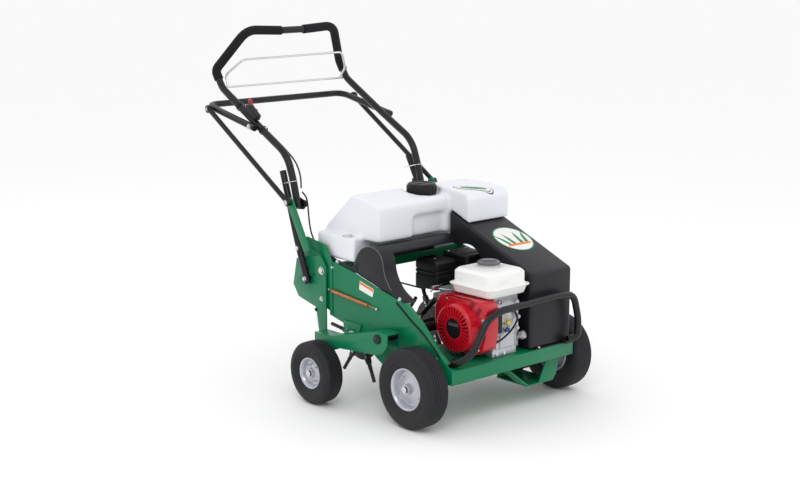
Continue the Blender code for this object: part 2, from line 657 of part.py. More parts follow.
# Engine
def make_engine():
    case = box((-0.085, -0.095, 0.222), (0.060, 0.085, 0.400))
    foot = box((-0.080, -0.100, DECK_TOP + GAP), (0.040, 0.080, 0.226))
    head = [(0.070, 0.318), (0.150, 0.304), (0.192, 0.330), (0.192, 0.416), (0.070, 0.416)]
    add("engine_block", joined(case, foot, plate(head, -0.068, 0.056)), "casting")
    shell = [(-0.132, 0.300), (-0.122, 0.252), (-0.075, 0.226), (0.045, 0.224), (0.095, 0.250)]
    shell += [(0.120, 0.300), (0.120, 0.375), (0.090, 0.420), (-0.115, 0.424), (-0.134, 0.400)]
    cover = plate(shell, -0.150, -0.0853)
    bowl = turned([(0, -0.185), (0.078, -0.185), (0.086, -0.172), (0.089, -0.145), (0, -0.145)],
                  CRANK, closed=False)
    add("recoil_cover", joined(cover, bowl), "red")
    grip = swept([(-0.168, 0.096, 0.4010), (-0.168, 0.164, 0.3350)], 0.0100, 12)
    add("starter_grip", grip, "black", (-0.168, 0.130, 0.3680))
    make_fuel_tank()
    add("air_cleaner", box((-0.070, 0.195, 0.395), (0.035, 0.315, 0.500)), "black")
    add("muffler", box((0.042, 0.155, 0.420), (0.165, 0.290, 0.513)), "black")


def make_fuel_tank():
    low = (-0.108, -0.110, 0.4275)
    high = (0.060, 0.058, 0.447)
    lower = box(low, high)
    rim = box((-0.133, -0.135, 0.445), (0.078, 0.080, 0.470))
    upper = box((-0.118, -0.120, 0.468), (0.064, 0.066, 0.514))
    neck = ring((-0.010, -0.005), 0.0240, 0.0170, 0.512, 0.520, "Z")
    well = rod((-0.010, -0.005), 0.0170, 0.440, 0.530, "Z")
    add("fuel_tank", cut(joined(lower, rim, upper, neck), well), "white")
    cap = [(0, 0.5204), (0.0400, 0.5204), (0.0400, 0.529), (0.034, 0.533), (0, 0.533)]
    solid = turned(cap, (-0.010, -0.005), "Z", 24, closed=False)
    add("fuel_cap", solid, "dark_steel", (-0.010, -0.005, 0.520))


# Covers and water tank
GUARD_IN = 0.087
GUARD_OUT = PLATE_OUT - PLATE - 0.0005
GUARD_REAR = 0.297


def slope_z(y):
    """Height of the belt guard's sloping top at y."""
    return 0.484 + 0.409 * (y + 0.118)


def make_belt_guard():
    wall = 0.003
    outer = [(-0.118, DECK_TOP + GAP), (-0.118, 0.484), (GUARD_REAR, slope_z(GUARD_REAR))]
    outer += [(GUARD_REAR, DECK_TOP + GAP)]
    solid = plate(outer, GUARD_IN, GUARD_OUT)
    inner = [(-0.115, 0.150), (-0.115, 0.4808), (0.350, slope_z(0.350) - 0.0034), (0.350, 0.150)]
    hollow = plate(inner, GUARD_IN + wall, GUARD_OUT - wall)
    skirt = [(-0.085, 0.150), (-0.085, 0.216), (-0.048, 0.252), (0.032, 0.330), (0.112, 0.387)]
    skirt += [(0.215, 0.410), (0.350, 0.445), (0.350, 0.150)]
    notch = plate(skirt, GUARD_OUT - 0.020, GUARD_OUT + 0.020)
    window = [(0.120, 0.150), (0.120, 0.460)] + arc((0.200, 0.465), 0.080, 180, 60, 5)
    window += [(0.350, 0.545), (0.350, 0.150)]
    doorway = plate(window, GUARD_IN - 0.020, GUARD_IN + 0.020)
    bore = rod(CRANK, 0.016, GUARD_IN - 0.020, GUARD_IN + 0.020)
    add("belt_guard", cut(solid, hollow, notch, doorway, bore), "black")


def make_shroud():
    """The arched cover behind the engine, open under its cross bar."""
    inside = GUARD_IN - 0.001
    arch = [(0.149, 0.398), (0.191, 0.440), (0.222, 0.492), (0.232, 0.535), (0.250, 0.560)]
    arch += [(0.290, 0.573), (0.330, 0.566), (0.358, 0.544), (0.380, 0.505), (0.390, 0.470)]
    hollow = [(0.140, 0.380), (0.1955, 0.440), (0.2255, 0.492), (0.2355, 0.534), (0.252, 0.557)]
    hollow += [(0.290, 0.5695), (0.328, 0.563), (0.3555, 0.542), (0.3765, 0.505), (0.388, 0.460)]
    hollow += [(0.400, 0.380)]
    solid = plate(arch, -0.2955, inside)
    cavity = plate(hollow, -0.2925, inside + 0.020)
    window = box((-0.235, 0.050, 0.350), (inside + 0.020, 0.246, 0.560))
    rear = box((-0.290, 0.330, 0.350), (inside + 0.020, 0.420, 0.500))
    add("engine_shroud", cut(solid, cavity, window, rear), "black")


def make_water_tank():
    wing = box((-0.290, 0.392, 0.4955), (0.290, 0.605, 0.585))
    hump = [(0.300, 0.576), (0.300, 0.702), (0.316, 0.714), (0.450, 0.735), (0.600, 0.600)]
    hump += [(0.604, 0.550), (0.400, 0.550), (0.396, 0.576)]
    body = plate(hump, -0.252, 0.298)
    nose = [(0.200, slope_z(0.200) + 0.002), (0.200, 0.705), (0.220, 0.730), (0.320, 0.738)]
    nose += [(0.440, 0.736), (0.440, 0.650), (0.310, slope_z(0.310) + 0.002)]
    block = plate(nose, 0.092, 0.3065)
    seat = rod((0.045, 0.400), 0.070, 0.7085, 0.800, "Z")
    mouth = rod((0.045, 0.400), 0.040, 0.620, 0.800, "Z")
    add("water_tank", cut(joined(wing, body, block), seat, mouth), "tank")
    cap = [(0, 0.7090), (0.054, 0.7090), (0.056, 0.716), (0.056, 0.742), (0.050, 0.750), (0, 0.750)]
    solid = turned(cap, (0.045, 0.400), "Z", closed=False)
    add("tank_cap", solid, "black", (0.045, 0.400, 0.709))


def clear_scene():
    for old in list(bpy.data.objects):
        bpy.data.objects.remove(old)


def centre_on_origin():
    """Moves every piece so that the middle of the machine's length is at Y = 0."""
    pieces = [piece for piece in bpy.data.objects if piece.type == "MESH"]
    places = [piece.location.y + vert.co.y for piece in pieces for vert in piece.data.vertices]
    middle = (min(places) + max(places)) / 2
    for piece in bpy.data.objects:
        piece.location.y -= middle


clear_scene()
FINISH = make_materials()
make_deck()
make_axle_hanger()
make_side_plates()
make_cross_member()
make_guard_bar()
make_front_axle()
make_wheels()
make_carriage()
make_reel()
make_levers()
make_springs()
make_lower_tubes()
make_upper_handle()
make_lift_bar()
make_links()
make_bail()
make_throttle()
cable("control_cable_upper", UPPER_CABLE)
cable("control_cable_lower", LOWER_CABLE)
make_drive()
make_engine()
make_belt_guard()
make_shroud()
make_water_tank()
centre_on_origin()
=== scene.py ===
"""The looks of the walk-behind core aerator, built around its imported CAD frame.

Coordinates in the functions below are in metres from the machine's own datum: the centre plane,
the ground and the front axle's line. piece() moves each mesh from there into the frame.
"""

import math

import bmesh
import bpy
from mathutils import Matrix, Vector
from mathutils.bvhtree import BVHTree


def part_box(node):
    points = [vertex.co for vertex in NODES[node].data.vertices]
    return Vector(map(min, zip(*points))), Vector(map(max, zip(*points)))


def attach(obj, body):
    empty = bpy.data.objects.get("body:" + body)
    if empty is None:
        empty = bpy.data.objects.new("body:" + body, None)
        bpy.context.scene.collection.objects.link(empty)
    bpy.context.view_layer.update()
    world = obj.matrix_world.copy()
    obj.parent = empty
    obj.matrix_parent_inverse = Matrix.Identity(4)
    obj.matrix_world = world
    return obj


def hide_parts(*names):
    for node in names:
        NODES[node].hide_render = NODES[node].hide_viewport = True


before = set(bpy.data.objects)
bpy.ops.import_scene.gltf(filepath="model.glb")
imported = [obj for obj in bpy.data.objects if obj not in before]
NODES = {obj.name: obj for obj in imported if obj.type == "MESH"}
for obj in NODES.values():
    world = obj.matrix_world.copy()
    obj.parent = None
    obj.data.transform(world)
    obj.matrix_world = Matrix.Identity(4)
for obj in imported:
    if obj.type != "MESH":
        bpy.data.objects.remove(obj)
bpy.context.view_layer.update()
AXLE_LOW, AXLE_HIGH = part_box("front_axle")
MIDDLE = -(AXLE_LOW[1] + AXLE_HIGH[1]) / 2  # the frame's origin lies this far behind the front axle

SIDES = (("right", -1), ("left", 1))
PLATE_OUT = 0.301
DECK_TOP = 0.211
CARRIAGE_PIVOT = (0.161, 0.281)
REEL = (0.385, 0.222)
LEVER_PIVOT = (0.536, 0.452)
LINK_LOW = (0.676, 0.688)
LINK_HIGH = (1.159, 0.987)
LIFT_PIVOT = (0.923, 0.940)
LIFT_REAR = (1.204, 0.997)
FOLD = (0.686, 0.672)
BAIL = (1.148, 1.066)
LOWER_BOLTS = ((0.606, 0.413), (0.648, 0.520))
HANDLE_X = 0.309
TUBE_X = 0.3335
LINK_X = 0.3625
LEVER_FACE = 0.3186
CRANK = (-0.010, 0.318)
CAP = (0.045, 0.400)
FUEL_CAP = (-0.010, -0.005)
GRIP_TOP = (-0.168, 0.096, 0.4010)
GRIP_FOOT = (-0.168, 0.164, 0.3350)
GUARD_FRONT = (-0.118, 0.484)
GUARD_SLOPE = 0.409
LABEL_SPOT = (0.175, 0.262)
LABEL_ALONG = (0.74, -0.67)
CABLE_R = 0.0030
WHEELS = {
    # name: (outer radius, width, outer face from the centre plane, rim radius, axle)
    "front": (0.140, 0.090, 0.405, 0.075, (0.0, 0.140)),
    "rear": (0.1135, 0.080, 0.467, 0.058, (0.440, 0.1135)),
}


# Materials
def surface(name, colour, rough, metallic=0.0, patch=(6, 0.08), grain=(220, 0.03), dirt=None, gloss=0.0):
    """A surface whose colour drifts in patches and whose bump is a fine grain.

    patch and grain are (scale, strength); dirt is (colour, height) of dust that fades upwards.
    """
    made = bpy.data.materials.new(name)
    made.use_nodes = True
    tree = made.node_tree
    shader = tree.nodes["Principled BSDF"]
    shader.inputs["Metallic"].default_value = metallic
    shader.inputs["Specular IOR Level"].default_value = 0.3
    shader.inputs["Coat Weight"].default_value = gloss
    shader.inputs["Coat Roughness"].default_value = 0.12
    place = tree.nodes.new("ShaderNodeTexCoord").outputs["Object"]
    cloud = noise(tree, place, patch[0], 5)
    tint = tree.nodes.new("ShaderNodeMix")
    tint.data_type = "RGBA"
    tint.inputs["A"].default_value = (*[c * (1 - patch[1]) for c in colour], 1)
    tint.inputs["B"].default_value = (*[min(1, c * (1 + patch[1])) for c in colour], 1)
    tree.links.new(cloud, tint.inputs["Factor"])
    shade = tint.outputs["Result"]
    if dirt:
        shade = dusted(tree, place, shade, *dirt)
    tree.links.new(shade, shader.inputs["Base Color"])
    spread = tree.nodes.new("ShaderNodeMapRange")
    spread.inputs["To Min"].default_value = max(0.03, rough - 0.06)
    spread.inputs["To Max"].default_value = rough + 0.06
    tree.links.new(noise(tree, place, patch[0] * 4, 4), spread.inputs["Value"])
    tree.links.new(spread.outputs["Result"], shader.inputs["Roughness"])
    bump = tree.nodes.new("ShaderNodeBump")
    bump.inputs["Strength"].default_value = grain[1]
    bump.inputs["Distance"].default_value = 0.002
    tree.links.new(noise(tree, place, grain[0], 3), bump.inputs["Height"])
    tree.links.new(bump.outputs["Normal"], shader.inputs["Normal"])
    return made


def noise(tree, place, scale, detail):
    made = tree.nodes.new("ShaderNodeTexNoise")
    made.inputs["Scale"].default_value = scale
    made.inputs["Detail"].default_value = detail
    tree.links.new(place, made.inputs["Vector"])
    return made.outputs["Fac"]


def dusted(tree, place, shade, colour, height):
    """shade with a dusty colour that fades out by height above the ground."""
    split = tree.nodes.new("ShaderNodeSeparateXYZ")
    tree.links.new(place, split.inputs["Vector"])
    fade = tree.nodes.new("ShaderNodeMapRange")
    fade.inputs["From Max"].default_value = height
    fade.inputs["To Min"].default_value = 0.35
    fade.inputs["To Max"].default_value = 0.0
    tree.links.new(split.outputs["Z"], fade.inputs["Value"])
    speck = tree.nodes.new("ShaderNodeMath")
    speck.operation = "MULTIPLY"
    tree.links.new(fade.outputs["Result"], speck.inputs[0])
    tree.links.new(noise(tree, place, 30, 6), speck.inputs[1])
    mix = tree.nodes.new("ShaderNodeMix")
    mix.data_type = "RGBA"
    mix.inputs["B"].default_value = (*colour, 1)
    tree.links.new(shade, mix.inputs["A"])
    tree.links.new(speck.outputs["Value"], mix.inputs["Factor"])
    return mix.outputs["Result"]


DUST = ((0.07, 0.062, 0.055), 0.10)
LOOKS = {
    # look: (material, record slot)
    "green": (surface("green_enamel", (0.0, 0.170, 0.072), 0.36, 0, (5, 0.10), (90, 0.035), gloss=0.15),
              "green"),
    "tube": (surface("gloss_black_coat", (0.006, 0.006, 0.008), 0.34, 0, (8, 0.2), (120, 0.04), gloss=0.1),
             "black_paint"),
    "charcoal": (surface("charcoal_plastic", (0.010, 0.010, 0.013), 0.38, 0, (7, 0.12), (500, 0.08)),
                 "black"),
    "black": (surface("black_plastic", (0.006, 0.006, 0.007), 0.42, 0, (9, 0.2), (600, 0.10)), "black"),
    "tyre": (surface("tyre_rubber", (0.014, 0.014, 0.017), 0.62, 0, (14, 0.16), (260, 0.12), DUST), "tyre"),
    "rim": (surface("silver_paint", (0.50, 0.51, 0.56), 0.32, 0.55, (9, 0.05), (150, 0.03), gloss=0.2),
            "rim"),
    "steel": (surface("bright_steel", (0.66, 0.66, 0.69), 0.20, 1.0, (20, 0.07), (300, 0.03)), "steel"),
    "iron": (surface("dark_iron", (0.055, 0.052, 0.050), 0.42, 0.75, (18, 0.35), (150, 0.15), DUST),
             "dark_steel"),
    "casting": (surface("cast_aluminium", (0.50, 0.51, 0.54), 0.40, 0.80, (16, 0.09), (420, 0.22)),
                "casting"),
    "red": (surface("red_enamel", (0.50, 0.004, 0.016), 0.26, 0, (8, 0.10), (130, 0.03), gloss=0.4), "red"),
    "white": (surface("white_moulding", (0.83, 0.83, 0.82), 0.28, 0, (6, 0.02), (260, 0.03), gloss=0.15),
              "white"),
    "tank": (surface("milky_polyethylene", (0.76, 0.78, 0.82), 0.36, 0, (5, 0.035), (90, 0.05)), "tank"),
    "foam": (surface("foam_rubber", (0.007, 0.007, 0.009), 0.85, 0, (60, 0.3), (900, 0.5)), "foam"),
    "copper": (surface("copper_plating", (0.62, 0.27, 0.13), 0.30, 0.9, (25, 0.12), (300, 0.05)), "copper"),
    "grey": (surface("grey_plastic", (0.12, 0.12, 0.13), 0.35, 0, (20, 0.10), (400, 0.06)), "dark_steel"),
    "sticker": (surface("label_white", (0.80, 0.80, 0.78), 0.35, 0, (20, 0.03), (300, 0.02)), "white"),
    "orange": (surface("label_orange", (0.80, 0.20, 0.03), 0.4, 0, (40, 0.08), (300, 0.02)), "red"),
    "leaf": (surface("label_green", (0.02, 0.22, 0.09), 0.4, 0, (40, 0.08), (300, 0.02)), "green"),
    "smoke": (surface("smoky_plastic", (0.13, 0.13, 0.14), 0.22, 0, (20, 0.08), (300, 0.03), gloss=0.3),
              "dark_steel"),
    "yellow": (surface("yellow_lead", (0.62, 0.48, 0.12), 0.4, 0, (40, 0.08), (300, 0.02)), "casting"),
    "blue": (surface("blue_lead", (0.02, 0.06, 0.25), 0.4, 0, (40, 0.08), (300, 0.02)), "casting"),
}


# Mesh makers
def mesh_of(points, faces):
    bm = bmesh.new()
    verts = [bm.verts.new(point) for point in points]
    for face in faces:
        bm.faces.new([verts[i] for i in face])
    return to_mesh(bm)


def to_mesh(bm):
    bmesh.ops.recalc_face_normals(bm, faces=bm.faces[:])
    mesh = bpy.data.meshes.new("mesh")
    bm.to_mesh(mesh)
    bm.free()
    return mesh


def circle(centre, radius, sides=32):
    turns = [2 * math.pi * i / sides for i in range(sides)]
    return [(centre[0] + radius * math.cos(t), centre[1] + radius * math.sin(t)) for t in turns]


def arc(centre, radius, start, end, steps):
    turns = [math.radians(start + (end - start) * i / steps) for i in range(steps + 1)]
    return [(centre[0] + radius * math.cos(t), centre[1] + radius * math.sin(t)) for t in turns]


def plate(outline, low, high, holes=(), axis="X"):
    """A flat piece between low and high on axis, its outline in the other two axes, in order."""
    def place(u, v, w):
        return {"X": (w, u, v), "Y": (u, w, v), "Z": (u, v, w)}[axis]

    loops = [list(outline)] + [list(hole) for hole in holes]
    bm = bmesh.new()
    rings = [[bm.verts.new(place(u, v, low)) for u, v in loop] for loop in loops]
    edges = [bm.edges.new((ring[i - 1], ring[i])) for ring in rings for i in range(len(ring))]
    bmesh.ops.triangle_fill(bm, edges=edges, use_beauty=True)
    bm.verts.index_update()
    flat = [[vert.index for vert in face.verts] for face in bm.faces]
    bm.free()
    points = [place(u, v, w) for w in (low, high) for loop in loops for u, v in loop]
    count = len(points) // 2
    faces = flat + [[i + count for i in reversed(face)] for face in flat]
    start = 0
    for loop in loops:
        for i in range(len(loop)):
            a = start + (i - 1) % len(loop)
            b = start + i
            faces.append([a, b, b + count, a + count])
        start += len(loop)
    return mesh_of(points, faces)


def box(low, high):
    outline = [(low[1], low[2]), (high[1], low[2]), (high[1], high[2]), (low[1], high[2])]
    return plate(outline, low[0], high[0])


def turned(profile, centre, axis="X", sides=48, closed=True):
    """A profile of (radius, distance along axis) turned about the axis through centre."""
    points = []
    rings = []
    for radius, along in profile:
        if radius == 0:
            rings.append([len(points)] * sides)
            points.append(turned_point(centre, axis, 0, along, 0))
            continue
        rings.append([len(points) + i for i in range(sides)])
        points += [turned_point(centre, axis, radius, along, i / sides) for i in range(sides)]
    faces = []
    pairs = [(i, i + 1) for i in range(len(rings) - 1)]
    if closed:
        pairs.append((len(rings) - 1, 0))
    for a, b in pairs:
        for i in range(sides):
            j = (i + 1) % sides
            faces.append(list(dict.fromkeys([rings[a][i], rings[a][j], rings[b][j], rings[b][i]])))
    return mesh_of(points, faces)


def turned_point(centre, axis, radius, along, turn):
    u = radius * math.cos(2 * math.pi * turn)
    v = radius * math.sin(2 * math.pi * turn)
    if axis == "X":
        return (along, centre[0] + u, centre[1] + v)
    if axis == "Y":
        return (centre[0] + u, along, centre[1] + v)
    return (centre[0] + u, centre[1] + v, along)


def rod(centre, radius, low, high, axis="X", sides=32, chamfer=0.0):
    profile = [(0, low), (radius - chamfer, low), (radius, low + math.copysign(chamfer, high - low))]
    profile += [(radius, high - math.copysign(chamfer, high - low)), (radius - chamfer, high), (0, high)]
    return turned(profile, centre, axis, sides, closed=False)


def rounded(points, reach, steps=8):
    """The path with each corner replaced by a smooth bend that starts reach before it."""
    path = [Vector(point) for point in points]
    made = [path[0]]
    for i in range(1, len(path) - 1):
        made += bend(path[i - 1], path[i], path[i + 1], reach, steps)
    made.append(path[-1])
    return made


def bend(previous, corner, following, reach, steps):
    before = previous - corner
    after = following - corner
    cut = min(reach, 0.49 * before.length, 0.49 * after.length)
    start = corner + before.normalized() * cut
    end = corner + after.normalized() * cut
    ways = [k / steps for k in range(steps + 1)]
    return [(1 - t) ** 2 * start + 2 * t * (1 - t) * corner + t * t * end for t in ways]


def softened(outline, reach, steps=6):
    """A closed outline with its corners rounded."""
    path = [Vector(point) for point in outline]
    made = []
    for i in range(len(path)):
        made += bend(path[i - 1], path[i], path[(i + 1) % len(path)], reach, steps)
    return [tuple(point) for point in made]


def swept(points, radius, sides=24, bore=None):
    """A round bar along points, or a pipe where bore gives its inner radius."""
    path = [Vector(point) for point in points]
    ahead = [(b - a).normalized() for a, b in zip(path, path[1:])]
    tangents = [ahead[0]] + [(a + b).normalized() for a, b in zip(ahead, ahead[1:])] + [ahead[-1]]
    side = tangents[0].orthogonal().normalized()
    frames = []
    for tangent in tangents:
        side = (side - tangent * side.dot(tangent)).normalized()
        frames.append((side.copy(), tangent.cross(side)))
    radii = [radius] if bore is None else [radius, bore]
    turns = [2 * math.pi * i / sides for i in range(sides)]
    points = [centre + reach * (u * math.cos(t) + v * math.sin(t))
              for reach in radii for centre, (u, v) in zip(path, frames) for t in turns]
    count = len(path)
    faces = []
    for shell in range(len(radii)):
        for k in range(count - 1):
            row = (shell * count + k) * sides
            for i in range(sides):
                j = (i + 1) % sides
                faces.append([row + i, row + j, row + sides + j, row + sides + i])
    for row in (0, (count - 1) * sides):
        if bore is None:
            faces.append([row + i for i in range(sides)])
            continue
        inner = row + count * sides
        for i in range(sides):
            j = (i + 1) % sides
            faces.append([row + i, row + j, inner + j, inner + i])
    return mesh_of(points, faces)


def merged(*meshes):
    bm = bmesh.new()
    for mesh in meshes:
        bm.from_mesh(mesh)
    made = bpy.data.meshes.new("mesh")
    bm.to_mesh(made)
    bm.free()
    return made


def shaped(mesh, *steps):
    """The mesh after modifiers, each step a (type, settings) pair."""
    helper = bpy.data.objects.new("helper", mesh)
    bpy.context.scene.collection.objects.link(helper)
    tools = []
    for kind, settings in steps:
        step = helper.modifiers.new("step", kind)
        for key, value in settings.items():
            if key == "cutter":
                tools.append(bpy.data.objects.new("tool", value))
                bpy.context.scene.collection.objects.link(tools[-1])
                key, value = "object", tools[-1]
            setattr(step, key, value)
    bpy.context.view_layer.update()
    graph = bpy.context.evaluated_depsgraph_get()
    made = bpy.data.meshes.new_from_object(helper.evaluated_get(graph))
    for old in [helper] + tools:
        bpy.data.objects.remove(old)
    return made


def cut(mesh, *cutters):
    return shaped(mesh, *[("BOOLEAN", {"operation": "DIFFERENCE", "cutter": cutter}) for cutter in cutters])


def melted(mesh, voxel, rounds, *cutters):
    """The mesh with moulded edges: remeshed finely, then smoothed."""
    steps = [("BOOLEAN", {"operation": "DIFFERENCE", "cutter": cutter}) for cutter in cutters]
    steps.append(("REMESH", {"mode": "VOXEL", "voxel_size": voxel, "use_smooth_shade": True}))
    steps.append(("SMOOTH", {"factor": 0.5, "iterations": rounds}))
    return shaped(mesh, *steps)


def bevelled(mesh, width, segments=3, angle=28):
    """The mesh with every edge sharper than angle rounded off."""
    bm = bmesh.new()
    bm.from_mesh(mesh)
    bmesh.ops.remove_doubles(bm, verts=bm.verts[:], dist=2e-5)
    bmesh.ops.dissolve_limit(bm, angle_limit=math.radians(1), verts=bm.verts[:], edges=bm.edges[:])
    least = math.radians(angle)
    sharp = [edge for edge in bm.edges if edge.is_manifold and edge.calc_face_angle(0) > least]
    bmesh.ops.bevel(bm, geom=sharp, offset=width, segments=segments, profile=0.5, affect="EDGES",
                    clamp_overlap=True)
    return to_mesh(bm)


def placed(mesh, place, direction):
    """A mesh made along +Z at the origin, turned to point along direction at place."""
    turn = Vector((0, 0, 1)).rotation_difference(Vector(direction))
    for vert in mesh.vertices:
        vert.co = turn @ vert.co + Vector(place)
    return mesh


def bolt(place, direction, size=0.0065):
    """A hexagon head on a washer."""
    washer = [(0, 0), (size * 1.45, 0), (size * 1.45, size * 0.2), (0, size * 0.2)]
    washer = turned(washer, (0, 0), "Z", 24, closed=False)
    head = turned([(0, 0), (size, 0), (size, size * 0.75), (size * 0.84, size * 0.95), (0, size * 0.95)],
                  (0, 0), "Z", 6, False)
    return placed(merged(washer, head), place, direction)


def bolts(*places, direction, size=0.0065):
    return merged(*[bolt(place, direction, size) for place in places])


# Placing
def piece(name, mesh, look, body, stands_for=(), angle=38):
    """A finished piece, moved from the machine's datum into the frame."""
    for vert in mesh.vertices:
        vert.co.y -= MIDDLE
    return keep(name, mesh, look, body, stands_for, angle)


def keep(name, mesh, look, body, stands_for=(), angle=38):
    material, slot = LOOKS[look]
    mesh.materials.clear()
    mesh.materials.append(material)
    mesh.shade_smooth()
    mesh.set_sharp_from_angle(angle=math.radians(angle))
    mesh.name = name
    made = bpy.data.objects.new(name, mesh)
    bpy.context.scene.collection.objects.link(made)
    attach(made, body)
    if stands_for:
        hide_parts(*stands_for)
    return made


def refine(node, look, body, width, segments=2):
    """A CAD node's own shape with its edges rounded."""
    keep(f"{node}_finished", bevelled(NODES[node].data.copy(), width, segments), look, body, (node,))


# Frame
def make_frame():
    for node in ("deck", "axle_hanger", "side_plate_right", "side_plate_left", "rear_cross_member"):
        refine(node, "green", "root", 0.0011)
    for side, _ in SIDES:
        refine(f"carriage_arm_{side}", "green", "carriage", 0.0011)
        refine(f"lift_lever_{side}", "green", "lift_levers", 0.0011)
        refine(f"reel_bearing_{side}", "green", "root", 0.0010)
    refine("lever_cross_shaft", "steel", "lift_levers", 0.0010)
    refine("carriage_pivot_tube", "tube", "carriage", 0.0020)
    heads = []
    for side, s in SIDES:
        spots = [(s * PLATE_OUT, y, z) for y, z in ((0.4988, 0.4669), (-0.0524, 0.2408))]
        heads.append(bolts(*spots, direction=(s, 0, 0), size=0.0055))
        heads.append(bolts((s * 0.262, -0.070, 0.2240), direction=(0, 0, 1), size=0.0065))
        x = s * (PLATE_OUT + 0.0004)
        section = [(0.016, x), (0.033, x), (0.031, x + s * 0.004), (0.021, x + s * 0.008)]
        ring = turned(section + [(0.016, x + s * 0.008)], REEL, sides=48)
        piece(f"reel_flange_{side}", ring, "casting", "root")
        heads.append(bolts(*[(x, REEL[0] + u, REEL[1] + v) for u, v in ((-0.030, 0.034), (0.030, 0.034))],
                           direction=(s, 0, 0), size=0.0045))
    piece("frame_bolts", merged(*heads), "steel", "root")


def make_guard_bar():
    bar_y = -0.150
    path = [(-0.262, -0.055, 0.2245), (-0.262, -0.108, 0.2245), (-0.228, bar_y, 0.262)]
    path += [(-0.160, bar_y, 0.368), (-0.105, bar_y, 0.391), (0.200, bar_y, 0.399), (0.275, bar_y, 0.390)]
    path += [(0.303, bar_y, 0.290), (0.298, bar_y, 0.230), (0.262, -0.136, 0.2265)]
    tube = swept(rounded(path, 0.034, 10), 0.0125, 28)
    feet = [bevelled(box((-0.277, -0.085, 0.2135), (-0.247, -0.012, 0.2235)), 0.004, 3)]
    feet.append(bevelled(box((0.240, -0.1500, 0.2135), (0.290, -0.122, 0.2235)), 0.004, 3))
    piece("guard_bar_tube", merged(tube, *feet), "tube", "root", ("engine_guard_bar",))


# Wheels
def tyre_profile(radius, width, face, rim):
    """The tyre's section: ribs and grooves across the tread, and a raised ring on each wall."""
    inner = face - width
    half = width / 2
    middle = face - half
    ribs = []
    for rib in (-0.48, -0.24, 0.0, 0.24, 0.48):
        crown = radius - 0.004 * rib * rib
        ribs += [(crown, middle + (rib - 0.095) * half), (crown, middle + (rib + 0.095) * half)]
        ribs += [(crown - 0.0038, middle + (rib + edge) * half) for edge in (0.105, 0.135)]
    ribs = [(radius - 0.0012, middle - 0.66 * half), (radius - 0.0010, middle - 0.61 * half),
            (radius - 0.0045, middle - 0.60 * half), (radius - 0.0045, middle - 0.585 * half)] + ribs
    shoulder = [(radius - 0.0010, middle + 0.61 * half), (radius - 0.0014, middle + 0.68 * half)]
    shoulder += [(radius - 0.0050, middle + 0.80 * half), (radius - 0.0120, middle + 0.915 * half)]
    shoulder += [(radius - 0.0200, face - 0.0012), (radius - 0.0300, face), (rim + 0.020, face - 0.0010)]
    shoulder += [(rim + 0.0165, face - 0.0030), (rim + 0.0130, face - 0.0022), (rim + 0.006, face - 0.0055)]
    shoulder += [(rim + 0.0005, face - 0.0095), (rim, face - 0.012)]
    mirrored = [(r, 2 * middle - x) for r, x in reversed(shoulder[1:])]
    return mirrored + ribs + shoulder


def wavy(profile, centre, sides=96, lobes=0):
    """A turned dish whose (radius, along, wave) points rise and fall round the wheel."""
    points = []
    for radius, along, wave in profile:
        for i in range(sides):
            turn = i / sides
            lift = wave * math.cos(2 * math.pi * lobes * turn)
            points.append(turned_point(centre, "X", radius, along + lift, turn))
    faces = []
    count = len(profile)
    for k in range(count - 1):
        for i in range(sides):
            j = (i + 1) % sides
            faces.append([k * sides + i, k * sides + j, (k + 1) * sides + j, (k + 1) * sides + i])
    return mesh_of(points, faces)


def make_wheels():
    for place, (radius, width, face, rim, axle) in WHEELS.items():
        for side, s in SIDES:
            body = "front_axle_set" if place == "front" else f"rear_wheel_{side}"
            section = [(r, s * x) for r, x in tyre_profile(radius, width, face, rim)]
            tread = turned(section, axle, sides=128)
            piece(f"{place}_tread_{side}", tread, "tyre", body, (f"{place}_tyre_{side}",), 30)
            make_rim(place, side, s, body)
    refine("front_axle", "iron", "front_axle_set", 0.0015)


